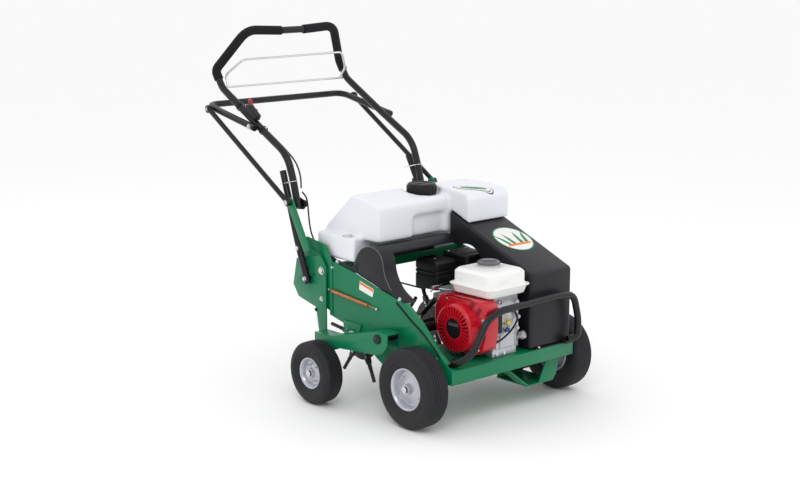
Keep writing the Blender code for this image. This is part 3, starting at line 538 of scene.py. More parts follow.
def make_rim(place, side, s, body):
    _, width, face, rim, axle = WHEELS[place]
    inner = face - width
    edge = rim - 0.0003
    lobes, wave = (0, 0.0) if place == "front" else (8, 0.0022)
    floor = face - 0.030 if place == "front" else face - 0.024
    dish = [(edge, face - 0.0120, 0), (edge - 0.0015, face - 0.0085, 0), (edge - 0.0050, face - 0.0085, 0)]
    dish += [(edge - 0.0080, face - 0.0110, 0), (edge - 0.0110, face - 0.0200, 0)]
    dish += [(edge - 0.0150, floor - 0.0040, wave * 0.6), (edge - 0.0220, floor - 0.0060, wave)]
    dish += [(edge * 0.52, floor - 0.0010, wave), (edge * 0.42, floor + 0.0015, wave * 0.3)]
    dish += [(0.0225, floor + 0.0025, 0), (0.0190, floor + 0.0035, 0), (0.0175, floor + 0.0060, 0)]
    dish += [(0.0170, face - 0.0090, 0), (0.0150, face - 0.0070, 0), (0.0125, face - 0.0066, 0)]
    dish += [(0.0125, face - 0.0300, 0)]
    back = [(edge, face - 0.0120, 0), (edge, inner + 0.0120, 0), (edge - 0.004, inner + 0.009, 0)]
    back += [(edge - 0.0080, inner + 0.012, 0), (edge - 0.0120, face - 0.044, 0), (0.0245, face - 0.047, 0)]
    back += [(0.0235, inner + 0.006, 0), (0.0215, inner + 0.004, 0), (0.0125, inner + 0.004, 0)]
    parts = [wavy([(r, s * x, s * w) for r, x, w in half], axle, 96, lobes) for half in (dish, back)]
    welds = []
    if place == "front":
        for k in range(3):
            turn = math.radians(40 + 120 * k)
            at = (axle[0] + 0.050 * math.cos(turn), axle[1] + 0.050 * math.sin(turn))
            low = s * (floor - 0.0100)
            welds.append(rod(at, 0.0034, low, s * (floor - 0.0005), sides=20, chamfer=0.0012))
    stem_turn = math.radians(200 if place == "front" else 140)
    reach = edge - 0.014
    at = (axle[0] + reach * math.cos(stem_turn), axle[1] + reach * math.sin(stem_turn))
    piece(f"{place}_disc_{side}", merged(*parts, *welds), "rim", body, (f"{place}_rim_{side}",))
    stem = turned([(0, s * (floor - 0.008)), (0.0042, s * (floor - 0.008)), (0.0030, s * (floor + 0.006)),
                   (0.0030, s * (floor + 0.0120)), (0, s * (floor + 0.0120))], at, sides=20, closed=False)
    piece(f"{place}_valve_{side}", stem, "black", body)
    end = 0.4045 if place == "front" else 0.4665
    hub = turned([(0, s * (end - 0.0020)), (0.0118, s * (end - 0.0020)), (0.0116, s * (end - 0.0012)),
                  (0.0080, s * (end - 0.0003)), (0, s * end)], axle, sides=32, closed=False)
    clip = turned([(0.0122, s * (end - 0.0076)), (0.0152, s * (end - 0.0076)), (0.0152, s * (end - 0.0054)),
                   (0.0122, s * (end - 0.0054))], axle, sides=32)
    piece(f"{place}_hub_cap_{side}", merged(hub, clip), "steel", body)


# Tine reel
def make_reel():
    refine("reel_shaft", "iron", "tine_reel", 0.0010)
    for number, x in enumerate((-0.260, -0.087, 0.087, 0.260), 1):
        disc = plate(circle(REEL, 0.082, 64), x - 0.0055, x + 0.0055, [circle(REEL, 0.0128, 32)])
        wheel = [bevelled(disc, 0.0012)]
        heads = []
        for k in range(6):
            turn = math.radians(246 + 60 * k)
            out = Vector((0, math.cos(turn), math.sin(turn)))
            hub = Vector((x, *REEL))
            wheel.append(swept([hub + out * r for r in (0.052, 0.120)], 0.0075, 20))
            wheel.append(swept([hub + out * r for r in (0.119, 0.1690)], 0.0066, 20, bore=0.0050))
            wheel.append(bevelled(tine_root(x, turn), 0.0012))
            for r in (0.058, 0.073):
                heads.append(bolt(hub + out * r + Vector((-0.0080, 0, 0)), (-1, 0, 0), 0.0036))
        piece(f"coring_wheel_{number}", merged(*wheel), "iron", "tine_reel", (f"tine_wheel_{number}",))
        piece(f"tine_bolts_{number}", merged(*heads), "steel", "tine_reel")


def tine_root(x, turn):
    """The flat clamp that holds one tine to its wheel."""
    outline = []
    for radius, half in ((0.050, 9), (0.080, 7.5), (0.100, 4.2), (0.100, -4.2), (0.080, -7.5), (0.050, -9)):
        angle = turn + math.radians(half)
        outline.append((REEL[0] + radius * math.cos(angle), REEL[1] + radius * math.sin(angle)))
    return plate(outline, x - 0.0080, x + 0.0080)


# Levers and springs
def helix(start, end, radius, turns, steps=14):
    first = Vector(start)
    run = Vector(end) - first
    side = run.orthogonal().normalized()
    across = run.normalized().cross(side)
    made = []
    for i in range(turns * steps + 1):
        turn = 2 * math.pi * i / steps
        out = side * math.cos(turn) + across * math.sin(turn)
        made.append(first + run * i / (turns * steps) + radius * out)
    return made


def make_springs():
    for side, s in SIDES:
        x = s * 0.3090
        coils = swept(helix((x, 0.292, 0.3645), (x, 0.488, 0.3825), 0.0053, 46), 0.0016, 7)
        front = swept([(x, 0.246, 0.3600), (x, 0.270, 0.3622), (x, 0.293, 0.3648)], 0.0016, 12)
        rear = swept([(x, 0.487, 0.3824), (x, 0.496, 0.3832), (x, 0.508, 0.3845)], 0.0016, 12)
        spring = merged(coils, front, rear)
        piece(f"spring_coils_{side}", spring, "copper", "root", (f"assist_spring_{side}",))
        hook = [rod((0.246, 0.360), 0.0045, s * 0.3012, s * 0.3130, chamfer=0.0008)]
        hook.append(rod((0.510, 0.3848), 0.0040, s * 0.3012, s * 0.3125, chamfer=0.0008))
        piece(f"spring_pins_{side}", merged(*hook), "steel", "root")


def make_lever_bolts():
    for side, s in SIDES:
        face = s * LEVER_FACE
        heads = bolts((face, 0.5405, 0.3455), (face, 0.5429, 0.2141), direction=(s, 0, 0), size=0.0062)
        pivot = rod((0.5386, 0.4505), 0.0150, s * 0.3187, s * 0.3215, chamfer=0.0010)
        piece(f"lever_bolts_{side}", merged(heads, pivot), "steel", "lift_levers")
        # The thin dark disc is painted shade for a hole in the lever; the dark bolt beside it is real.
        holes = merged(rod((0.5816, 0.4309), 0.0042, s * 0.3183, s * 0.3190, sides=20),
                       bolt((face, 0.5724, 0.2994), (s, 0, 0), 0.0050))
        piece(f"lever_hole_shade_and_bolt_{side}", holes, "iron", "lift_levers")


# Handle
def make_lower_tubes():
    for side, s in SIDES:
        path = [(s * TUBE_X, 0.5985, 0.394), (s * TUBE_X, 0.655, 0.535), (s * 0.312, 0.767, 0.788)]
        tube = swept(rounded(path, 0.05, 12), 0.0125, 28)
        low, high = LOWER_BOLTS
        spacers = [rod(low, 0.0055, s * 0.3058, s * TUBE_X), rod(high, 0.0075, s * 0.3058, s * TUBE_X)]
        web = box((min(s * 0.290, s * 0.314), 0.7085, 0.652), (max(s * 0.290, s * 0.314), 0.7185, 0.684))
        ear = [(0.664, 0.668), (0.672, 0.654), (0.7195, 0.650)]
        ear += [(0.7195, 0.704), (0.690, 0.694), (0.668, 0.688)]
        ear = bevelled(plate(softened(ear, 0.006), s * 0.2870, s * 0.2920), 0.0012)
        knob = turned([(0, s * 0.2875), (0.0130, s * 0.2875), (0.0140, s * 0.2855), (0.0140, s * 0.2745),
                       (0.0115, s * 0.2722), (0, s * 0.2720)], FOLD, sides=12, closed=False)
        made = merged(tube, *spacers, bevelled(web, 0.0012), ear, knob)
        piece(f"lower_tube_{side}", made, "tube", "root", (f"lower_handle_tube_{side}",))
        heads = [bolt((s * 0.3440, *low), (s, 0, 0), 0.0070)]
        heads.append(rod(high, 0.0080, s * 0.3440, s * 0.3471, chamfer=0.0010))
        piece(f"lower_tube_bolts_{side}", merged(*heads), "steel", "root")


def handle_half(s):
    """The upper handle's centre line from its foot to its middle, and where its grip starts."""
    x = s * HANDLE_X
    path = [(x, 0.6835, 0.662), (x, 0.708, 0.754), (x, 0.735, 0.826), (x, 0.768, 0.862)]
    path += [(x, 0.919, 0.941), (x, 1.142, 1.065), (x, 1.164, 1.0975)]
    lower = rounded(path, 0.022, 6)
    path = [(x, 1.164, 1.0975), (x, 1.186, 1.130), (s * 0.213, 1.108, 1.283)]
    path += [(s * 0.058, 1.102, 1.275), (s * 0.056, 1.102, 1.275)]
    return lower[:-1] + rounded(path, 0.045, 14), len(lower) - 1


def make_upper_handle():
    right, _ = handle_half(-1)
    left, _ = handle_half(1)
    tube = swept(right + left[::-1], 0.0135, 32)
    studs = []
    for _, s in SIDES:
        studs.append(rod(LIFT_PIVOT, 0.0120, s * 0.3205, s * 0.3235, chamfer=0.0008))
    piece("handle_tube", merged(tube, *studs), "tube", "upper_handle_set", ("upper_handle",))
    for side, s in SIDES:
        line, start = handle_half(s)
        foam = swept(line[start:], 0.0175, 32, bore=0.0140)
        piece(f"grip_sleeve_{side}", foam, "foam", "upper_handle_set", (f"foam_grip_{side}",))
        piece(f"lock_clip_{side}", lock_clip(s), "steel", "upper_handle_set")


def lock_clip(s):
    """The sprung wire that clips the upper handle to the lower tube, open to the rear."""
    x = s * HANDLE_X
    half = 0.0170
    path = []
    for y, side in ((0.768, -1), (0.712, -1), (0.694, -0.6), (0.694, 0.6), (0.712, 1), (0.768, 1)):
        path.append((x + side * half, y, 0.750 - 0.25 * (y - 0.730)))
    loops = [swept(rounded(path, 0.012, 8), 0.0017, 12)]
    pin = swept([(x - 0.019, 0.730, 0.750), (x + 0.019, 0.730, 0.750)], 0.0028, 14)
    return merged(*loops, pin)


def make_lift_bar():
    slope = (LINK_HIGH[1] - LIFT_PIVOT[1]) / (LINK_HIGH[0] - LIFT_PIVOT[0])
    front = (LIFT_PIVOT[0] - 0.022, LIFT_PIVOT[1] - 0.022 * slope)
    path = [(-0.337, *front), (-0.337, *LIFT_REAR), (0.337, *LIFT_REAR), (0.337, *front)]
    parts = [swept(rounded(path, 0.048, 12), 0.0125, 28)]
    for _, s in SIDES:
        parts.append(rod(LINK_HIGH, 0.0050, s * 0.337, s * 0.3745))
    piece("lift_hoop", merged(*parts), "tube", "lift_bar_set", ("lift_bar",))
    for side, s in SIDES:
        heads = [bolt((s * 0.3490, *LIFT_PIVOT), (s, 0, 0), 0.0072)]
        heads.append(bolt((s * 0.3720, *LINK_HIGH), (s, 0, 0), 0.0050))
        piece(f"lift_hoop_bolts_{side}", merged(*heads), "steel", "lift_bar_set")


def make_links():
    run = (Vector(LINK_HIGH) - Vector(LINK_LOW)).normalized()
    top = Vector(LINK_HIGH) - 0.0105 * run
    foot = Vector(LINK_LOW) + 0.0080 * run
    for side, s in SIDES:
        bar = swept([(s * LINK_X, *top), (s * LINK_X, *foot)], 0.0095, 28)
        eye = plate(circle(LINK_HIGH, 0.0150, 40), s * 0.3550, s * 0.3710, [circle(LINK_HIGH, 0.0055)])
        end = rod(LINK_LOW, 0.0135, s * 0.3545, s * 0.3720, chamfer=0.0015)
        link = merged(bar, bevelled(eye, 0.0015), end)
        piece(f"link_bar_{side}", link, "tube", "lift_links", (f"lift_link_{side}",))
        head = bolt((s * 0.3720, *LINK_LOW), (s, 0, 0), 0.0068)
        piece(f"link_bolt_{side}", head, "steel", "lift_links")


def make_bail():
    x = 0.277
    shaft = swept([(-0.2945, *BAIL), (0.2945, *BAIL)], 0.0042, 20)
    bow = [(-x, *BAIL), (-x, 1.166, 1.110), (-0.243, 1.096, 1.172), (0.243, 1.090, 1.176),
           (x, 1.110, 1.110), (x, *BAIL)]
    rail = swept(rounded(bow, 0.020, 10), 0.0044, 20)
    piece("bail_wire", merged(shaft, rail), "steel", "bail", ("control_bail",))


def make_throttle():
    refine("throttle_box", "charcoal", "upper_handle_set", 0.0030, 4)
    hub = (0.9504, 0.9928)
    run = Vector((0, 0.225, 0.125)).normalized()
    rise = Vector((0, -run.z, run.y))
    tip = Vector((0, *hub)) + run * 0.048 + rise * 0.012
    stem = swept([(-0.2935, *hub), (-0.2935, tip.y, tip.z)], 0.0030, 16)
    knob = rod((tip.y, tip.z), 0.0085, -0.2985, -0.2885, chamfer=0.0020)
    boss = rod(hub, 0.0080, -0.2967, -0.2905, chamfer=0.0012)
    piece("throttle_knob", merged(stem, knob, boss), "red", "throttle", ("throttle_lever",))


CABLES = {
    "control_cable_upper": ("upper_handle_set", [
        (-0.2915, 1.100, 1.0416), (-0.2915, 1.030, 1.0027), (-0.2915, 0.960, 0.9638),
        (-0.2915, 0.890, 0.9258), (-0.2915, 0.820, 0.8892), (-0.2905, 0.765, 0.8570),
        (-0.2890, 0.727, 0.8290), (-0.2880, 0.705, 0.8000), (-0.2870, 0.694, 0.7660),
        (-0.2860, 0.693, 0.7300)]),
    "control_cable_lower": ("root", [
        (-0.2835, 0.690, 0.7160), (-0.2825, 0.670, 0.7000), (-0.2820, 0.661, 0.6750),
        (-0.2825, 0.656, 0.6400), (-0.2860, 0.646, 0.6050), (-0.2920, 0.628, 0.5720),
        (-0.2952, 0.602, 0.5420), (-0.2953, 0.570, 0.5170), (-0.2953, 0.535, 0.5030),
        (-0.2950, 0.500, 0.4965), (-0.2900, 0.455, 0.4850), (-0.2760, 0.410, 0.4730),
        (-0.2450, 0.365, 0.4580), (-0.1950, 0.315, 0.4380), (-0.1400, 0.265, 0.4180),
        (-0.0950, 0.225, 0.4020)]),
}


def smooth_line(points, steps=8):
    """A Catmull-Rom line through points."""
    path = [Vector(point) for point in points]
    path = [2 * path[0] - path[1]] + path + [2 * path[-1] - path[-2]]
    made = []
    for a, b, c, d in zip(path, path[1:], path[2:], path[3:]):
        for k in range(steps):
            t = k / steps
            made.append(0.5 * (2 * b + (c - a) * t + (2 * a - 5 * b + 4 * c - d) * t ** 2
                               + (3 * b - a - 3 * c + d) * t ** 3))
    made.append(path[-2])
    return made


def make_cables():
    for node, (body, points) in CABLES.items():
        piece(f"{node}_sheath", swept(smooth_line(points), CABLE_R, 14), "black", body, (node,))
    outside = -PLATE_OUT - CABLE_R
    edge = [(outside, 0.150, 0.400), (outside, 0.1371, 0.3925), (outside, 0.0754, 0.352)]
    edge += [(outside, 0.0146, 0.3168), (outside, -0.0521, 0.2694), (-0.296, -0.070, 0.240)]
    edge += [(-0.262, -0.060, 0.222), (-0.190, -0.030, 0.218)]
    piece("edge_cable", swept(smooth_line(edge), CABLE_R, 14), "black", "root")
    ties = []
    for y, z in ((1.030, 1.0027), (0.890, 0.9258)):
        band = [(0.0172, -0.0035), (0.0180, -0.0035), (0.0180, 0.0035), (0.0172, 0.0035)]
        ties.append(placed(turned(band, (0, 0), "Z", 32), (-0.3065, y, z), (0, 0.225, 0.125)))
    piece("cable_ties", merged(*ties), "black", "upper_handle_set")


# Engine
def make_recoil_cover():
    shell = [(-0.132, 0.300), (-0.122, 0.252), (-0.075, 0.226), (0.045, 0.224), (0.095, 0.250)]
    shell += [(0.120, 0.300), (0.120, 0.375), (0.090, 0.420), (-0.115, 0.424), (-0.134, 0.400)]
    cover = bevelled(plate(softened(shell, 0.016), -0.150, -0.0853), 0.006, 4, 50)
    face = [(0, -0.185), (0.0755, -0.185)]
    face += [(0.0755 + 0.0105 * math.sin(math.radians(t)), -0.1745 - 0.0105 * math.cos(math.radians(t)))
             for t in (20, 40, 60, 80, 90)]
    face += [(0.0875, -0.1520), (0.0900, -0.1485), (0.0900, -0.1400), (0, -0.1400)]
    bowl = turned(face, CRANK, sides=96, closed=False)
    slots = []
    for k in range(30):
        turn = 2 * math.pi * k / 30
        out = Vector((0, math.cos(turn), math.sin(turn)))
        across = Vector((0, -out.z, out.y))
        middle = Vector((0, *CRANK))
        ends = [middle + out * 0.0440 - across * 0.0017, middle + out * 0.0440 + across * 0.0017]
        ends += [middle + out * 0.0745 + across * 0.0031, middle + out * 0.0745 - across * 0.0031]
        slots.append(plate([(end.y, end.z) for end in ends], -0.200, -0.177))
    eye = rod(CRANK, 0.0365, -0.200, -0.1815)
    bowl = cut(bowl, merged(*slots), eye)
    boss = bevelled(plate(softened([(-0.098, 0.352), (-0.128, 0.338), (-0.138, 0.352), (-0.138, 0.374),
                                    (-0.122, 0.382)], 0.008), -0.158, -0.146), 0.003, 3, 50)
    raised = [arc(CRANK, 0.1240, 52, 128, 20) + arc(CRANK, 0.1205, 128, 52, 20)]
    rib = bevelled(plate([(y, min(z, 0.4225)) for y, z in raised[0]], -0.1545, -0.148), 0.001)
    piece("recoil_shell", merged(cover, bowl, boss, rib), "red", "root", ("recoil_cover",))
    # Black disc behind the slotted face: painted shade seen through the slots. The small disc fills the eye
    # as the black centre.
    behind = rod(CRANK, 0.0755, -0.1795, -0.1765)
    disc = [(0, -0.1835), (0.030, -0.1835), (0.0352, -0.1825), (0.0352, -0.179), (0, -0.179)]
    disc = turned(disc, CRANK, closed=False)
    piece("recoil_slot_shade_and_hub", merged(behind, disc), "black", "root")
    band = []
    for low, high in ((0.328, 0.3325), (0.3355, 0.3375)):
        band.append(plate([(-0.034, low), (0.014, low), (0.014, high), (-0.034, high)], -0.1840, -0.1834))
    piece("recoil_stripes", merged(*band), "grey", "root")
    # Black dashes on the cover: painted shade for the cover's vents.
    piece("recoil_vent_shade", merged(*vent_shade_marks()), "black", "root")
    heads = [bolt((-0.158, -0.129, 0.362), (-1, 0, 0), 0.0050)]
    corners = ((0.098, 0.285), (0.060, 0.408), (-0.100, 0.252))
    heads += [bolt((-0.150, y, z), (-1, 0, 0), 0.0042) for y, z in corners]
    piece("recoil_bolts", merged(*heads), "steel", "root")
    top = Vector(GRIP_TOP)
    foot = Vector(GRIP_FOOT)
    half = [(0.0086, 0.0250), (0.0098, 0.0320), (0.0098, 0.0440), (0.0075, 0.0470), (0, 0.0470)]
    shape = [(radius, -along) for radius, along in reversed(half)] + half
    grip = placed(turned(shape, (0, 0), "Z", 32, closed=False), (top + foot) / 2, foot - top)
    piece("starter_handle", grip, "black", "starter", ("starter_grip",))


def vent_shade_marks():
    """Flat black dashes on the cover in front of the starter: painted shade standing in for its pressed
    vents.
    """
    made = []
    lean = Vector((-0.80, -0.60))
    for y, z in ((-0.066, 0.404), (-0.100, 0.388)):
        for k in range(4):
            middle = Vector((y, z)) + Vector((0.60, -0.80)) * (0.0075 * (k - 1.5)) * -1
            made.append(dash(middle, lean, 0.0095, 0.0018))
    for k in range(4):
        made.append(dash(Vector((-0.106 - 0.0075 * k, 0.318)), Vector((0.05, 1.0)), 0.024, 0.0016))
    for k in range(3):
        middle = Vector((-0.062 - 0.020 * k, 0.2415 + 0.004 * k))
        made.append(dash(middle, Vector((-0.95, 0.25)), 0.0075, 0.0016))
    return made


def dash(middle, along, half, thick):
    along = along.normalized()
    across = Vector((-along.y, along.x)) * thick
    ends = [middle - along * half - across, middle + along * half - across]
    ends += [middle + along * half + across, middle - along * half + across]
    return plate(softened([tuple(end) for end in ends], thick * 0.9, 4), -0.1506, -0.1480)


def make_engine_block():
    case = melted(merged_solid(
        box((-0.080, -0.092, 0.228), (0.056, 0.083, 0.398)),
        rod((-0.012, 0.305), 0.062, -0.098, -0.050, "Y"),
        box((-0.060, -0.098, 0.232), (0.040, -0.080, 0.270))), 0.0032, 5)
    foot = bevelled(box((-0.084, -0.102, DECK_TOP + 0.0004), (0.034, 0.080, 0.2385)), 0.0035, 3)
    ribs = [bevelled(box((x, -0.101, 0.236), (x + 0.0035, -0.085, 0.300)), 0.0010)
            for x in (-0.066, -0.046, 0.030)]
    fins = []
    for k in range(9):
        at = 0.090 + 0.0118 * k
        base = 0.302 + 0.005 * k
        lean = 0.010
        outline = [(at, base), (at + 0.0045, base), (at + 0.0045 - lean, 0.4150), (at - lean, 0.4150)]
        fins.append(bevelled(plate(outline, -0.068, 0.056), 0.0008))
    core = box((-0.050, 0.075, 0.312), (0.040, 0.190, 0.408))
    bracket = bevelled(box((-0.075, -0.095, 0.385), (0.045, -0.060, 0.426)), 0.0030, 3)
    upper = ((0.035, 0.395), (-0.050, 0.405))
    lower = ((0.044, 0.340), (0.040, 0.300))
    boss = [rod(spot, 0.0085, -0.104, -0.085, "Y", chamfer=0.0012) for spot in upper]
    boss += [rod(spot, 0.0070, -0.103, -0.085, "Y", chamfer=0.0012) for spot in lower]
    made = merged(case, foot, *ribs, *fins, core, bracket, *boss)
    piece("engine_case", made, "casting", "root", ("engine_block",))
    heads = [bolt((x, -0.092, 0.2385), (0, 0, 1), 0.0060) for x in (-0.070, 0.020)]
    heads += [bolt((x, -0.104, z), (0, -1, 0), 0.0046) for x, z in upper]
    heads += [bolt((x, -0.103, z), (0, -1, 0), 0.0042) for x, z in lower]
    heads.append(bolt((-0.030, -0.1022, 0.222), (0, -1, 0), 0.0062))
    heads.append(bolt((-0.066, -0.1022, 0.222), (0, -1, 0), 0.0050))
    piece("engine_bolts", merged(*heads), "steel", "root")
    cap = turned([(0, 0), (0.0090, 0), (0.0090, 0.014), (0.0150, 0.016), (0.0155, 0.019), (0.0145, 0.031),
                  (0.0120, 0.033), (0, 0.033)], (0, 0), "Z", 10, closed=False)
    piece("oil_filler_cap", placed(cap, (0.050, -0.088, 0.262), (0.35, -0.80, 0.42)), "casting", "root")
    wires()


def merged_solid(first, *others):
    return shaped(first, *[("BOOLEAN", {"operation": "UNION", "cutter": other}) for other in others])


def lead(points, radius, sides=12):
    return swept(smooth_line(points), radius, sides)


def wires():
    """The ignition unit, its leads and the hose across the engine's front."""
    unit = bevelled(box((-0.072, -0.108, 0.296), (-0.042, -0.094, 0.362)), 0.003, 3)
    hose = lead([(-0.150, -0.104, 0.250), (-0.110, -0.108, 0.258), (-0.070, -0.110, 0.268),
                 (-0.036, -0.110, 0.280), (0.002, -0.110, 0.302), (0.028, -0.109, 0.332),
                 (0.026, -0.105, 0.356), (0.014, -0.096, 0.372)], 0.0034, 16)
    loop = lead([(-0.084, -0.100, 0.325), (-0.086, -0.106, 0.300), (-0.076, -0.110, 0.278),
                 (-0.060, -0.109, 0.271)], 0.0022)
    piece("ignition_unit", merged(unit, hose, loop), "black", "root")
    plug = [bevelled(box((-0.018, -0.107, 0.318), (0.004, -0.095, 0.334)), 0.0025, 3)]
    plug.append(lead([(-0.008, -0.103, 0.334), (-0.014, -0.107, 0.350), (-0.034, -0.104, 0.368)], 0.0018))
    plug.append(lead([(-0.040, -0.107, 0.350), (-0.030, -0.112, 0.335), (-0.034, -0.110, 0.310)], 0.0016))
    piece("yellow_leads", merged(*plug), "yellow", "root")
    blue = [bevelled(box((-0.026, -0.110, 0.296), (-0.006, -0.098, 0.309)), 0.0025, 3)]
    blue.append(lead([(-0.016, -0.106, 0.309), (-0.022, -0.110, 0.322), (-0.040, -0.108, 0.332)], 0.0017))
    piece("blue_leads", merged(*blue), "blue", "root")
    levers = [swept([(-0.155, 0.135, 0.418), (-0.120, 0.150, 0.424), (-0.070, 0.165, 0.428)], 0.0022, 12)]
    levers.append(bevelled(box((-0.150, 0.128, 0.424), (-0.118, 0.140, 0.438)), 0.002))
    link = [(-0.130, 0.120, 0.428), (-0.100, 0.090, 0.425), (-0.060, 0.088, 0.424)]
    levers.append(lead(link, 0.0014, 10))
    piece("governor_rods", merged(*levers), "steel", "root")
    carburettor = [bevelled(box((-0.112, 0.118, 0.352), (-0.074, 0.172, 0.402)), 0.005, 3)]
    carburettor.append(rod((-0.093, 0.145), 0.020, 0.318, 0.354, "Z", chamfer=0.003))
    piece("carburettor", merged(*carburettor), "casting", "root")


def make_fuel_tank():
    corner = 0.026
    low = [(-0.117, -0.119), (0.063, -0.119), (0.063, 0.065), (-0.117, 0.065)]
    mid = [(-0.124, -0.126), (0.070, -0.126), (0.070, 0.072), (-0.124, 0.072)]
    top = [(-0.118, -0.120), (0.064, -0.120), (0.064, 0.066), (-0.118, 0.066)]
    crown = [(-0.108, -0.110), (0.054, -0.110), (0.054, 0.056), (-0.108, 0.056)]
    layers = [(low, 0.4278), (mid, 0.4560), (mid, 0.4625), (top, 0.4660), (top, 0.5030), (crown, 0.5138)]
    lip = [(-0.132, -0.134), (0.077, -0.134), (0.077, 0.079), (-0.132, 0.079)]
    seam = bevelled(plate(softened(lip, corner + 0.006, 10), 0.4565, 0.4620, axis="Z"), 0.0018, 3)
    neck = [(0.0170, 0.505), (0.0330, 0.505), (0.0330, 0.5165), (0.0300, 0.5198), (0.0170, 0.5198)]
    shell = merged(lofted(layers, corner, edge=0.0060), seam, turned(neck, FUEL_CAP, "Z"))
    piece("fuel_tank_shell", shell, "white", "root", ("fuel_tank",))
    cap = fluted(FUEL_CAP, 0.0385, 0.0398, 40, 0.5206, 0.5290)
    crown = [(0, 0.5290), (0.0372, 0.5290), (0.0345, 0.5322), (0.0310, 0.5330), (0.0280, 0.5318)]
    cap = merged(cap, turned(crown + [(0, 0.5318)], FUEL_CAP, "Z", closed=False))
    piece("fuel_cap_ribbed", cap, "smoke", "fuel_cap_set", ("fuel_cap",))
    panel = [(-0.080, 0.474), (-0.020, 0.474), (-0.016, 0.490), (-0.076, 0.490)]
    panel = bevelled(plate(panel, -0.1207, -0.1198, axis="Y"), 0.0003)
    piece("fuel_tank_panel", panel, "sticker", "root")


def lofted(layers, corner, steps=10, edge=0.0045):
    """A closed skin through rounded outlines stacked on Z, with its edges eased."""
    rings = [[(x, y, z) for x, y in softened(outline, corner, steps)] for outline, z in layers]
    count = len(rings[0])
    points = [point for ring in rings for point in ring]
    faces = [list(range(count)), [len(points) - count + i for i in range(count)]]
    for k in range(len(rings) - 1):
        for i in range(count):
            j = (i + 1) % count
            faces.append([k * count + i, k * count + j, (k + 1) * count + j, (k + 1) * count + i])
    return bevelled(mesh_of(points, faces), edge, 4, 18)


def fluted(centre, low, high, teeth, bottom, top):
    """A disc with ribs round its edge."""
    outline = []
    for k in range(teeth):
        for part, radius in ((0.0, low), (0.15, high), (0.5, high), (0.65, low)):
            turn = 2 * math.pi * (k + part) / teeth
            outline.append((centre[0] + radius * math.cos(turn), centre[1] + radius * math.sin(turn)))
    return bevelled(plate(outline, bottom, top, axis="Z"), 0.0005, 2, 60)


def make_cleaner():
    low = [(-0.069, 0.196), (0.034, 0.196), (0.034, 0.314), (-0.069, 0.314)]
    waist = [(-0.066, 0.199), (0.031, 0.199), (0.031, 0.311), (-0.066, 0.311)]
    top = [(-0.063, 0.202), (0.028, 0.202), (0.028, 0.308), (-0.063, 0.308)]
    layers = [(low, 0.3955), (low, 0.4440), (waist, 0.4450), (waist, 0.4490), (low, 0.4500), (low, 0.4600)]
    layers += [(waist, 0.4610), (waist, 0.4640), (low, 0.4650), (low, 0.4905), (top, 0.4995)]
    body = lofted(layers, 0.014)
    cup = rod((-0.0175, 0.255), 0.014, 0.494, 0.520, "Z")
    piece("air_cleaner_case", cut(body, cup), "black", "root", ("air_cleaner",))
    nut = [(0, 0.490), (0.0060, 0.490), (0.0060, 0.4975), (0.0030, 0.4990), (0, 0.4990)]
    nut = turned(nut, (-0.0175, 0.255), "Z", 6, closed=False)
    wings = bevelled(box((-0.0290, 0.2535, 0.4945), (-0.0060, 0.2565, 0.4995)), 0.0012)
    piece("cleaner_wing_nut", merged(nut, wings), "steel", "root")
    guard = [(0.043, 0.156), (0.164, 0.156), (0.164, 0.289), (0.043, 0.289)]
    crown = [(0.047, 0.160), (0.160, 0.160), (0.160, 0.285), (0.047, 0.285)]
    case = lofted([(guard, 0.4205), (guard, 0.5085), (crown, 0.5125)], 0.010, edge=0.0020)
    slots = []
    for k in range(8):
        slots.append(box((0.060 + 0.012 * k, 0.1500, 0.4950), (0.0665 + 0.012 * k, 0.1600, 0.5050)))
        slots.append(box((0.038, 0.170 + 0.013 * k, 0.4950), (0.047, 0.177 + 0.013 * k, 0.5050)))
        slots.append(box((0.060 + 0.012 * k, 0.1500, 0.4500), (0.0655 + 0.012 * k, 0.1600, 0.4900)))
        slots.append(box((0.060 + 0.012 * k, 0.1780, 0.5080), (0.0655 + 0.012 * k, 0.2100, 0.5200)))
        slots.append(box((0.038, 0.170 + 0.013 * k, 0.4500), (0.047, 0.176 + 0.013 * k, 0.4900)))
    piece("muffler_guard", cut(case, merged(*slots)), "black", "root", ("muffler",))
    corners = ((0.060, 0.268), (0.148, 0.268), (0.148, 0.172))
    heads = [bolt((x, y, 0.5125), (0, 0, 1), 0.0040) for x, y in corners]
    piece("muffler_bolts", merged(*heads), "steel", "root")


def make_drive():
    refine("engine_pulley", "iron", "engine_crank", 0.0008)
    refine("jackshaft", "iron", "jackshaft_set", 0.0008)
    refine("idler_arm", "iron", "idler", 0.0008)
    refine("drive_belt", "tyre", "root", 0.0010)
    refine("drive_chain", "iron", "root", 0.0010)


# Covers and water tank
def slope_z(y):
    """Height of the belt guard's sloping top at y."""
    return GUARD_FRONT[1] + GUARD_SLOPE * (y - GUARD_FRONT[0])


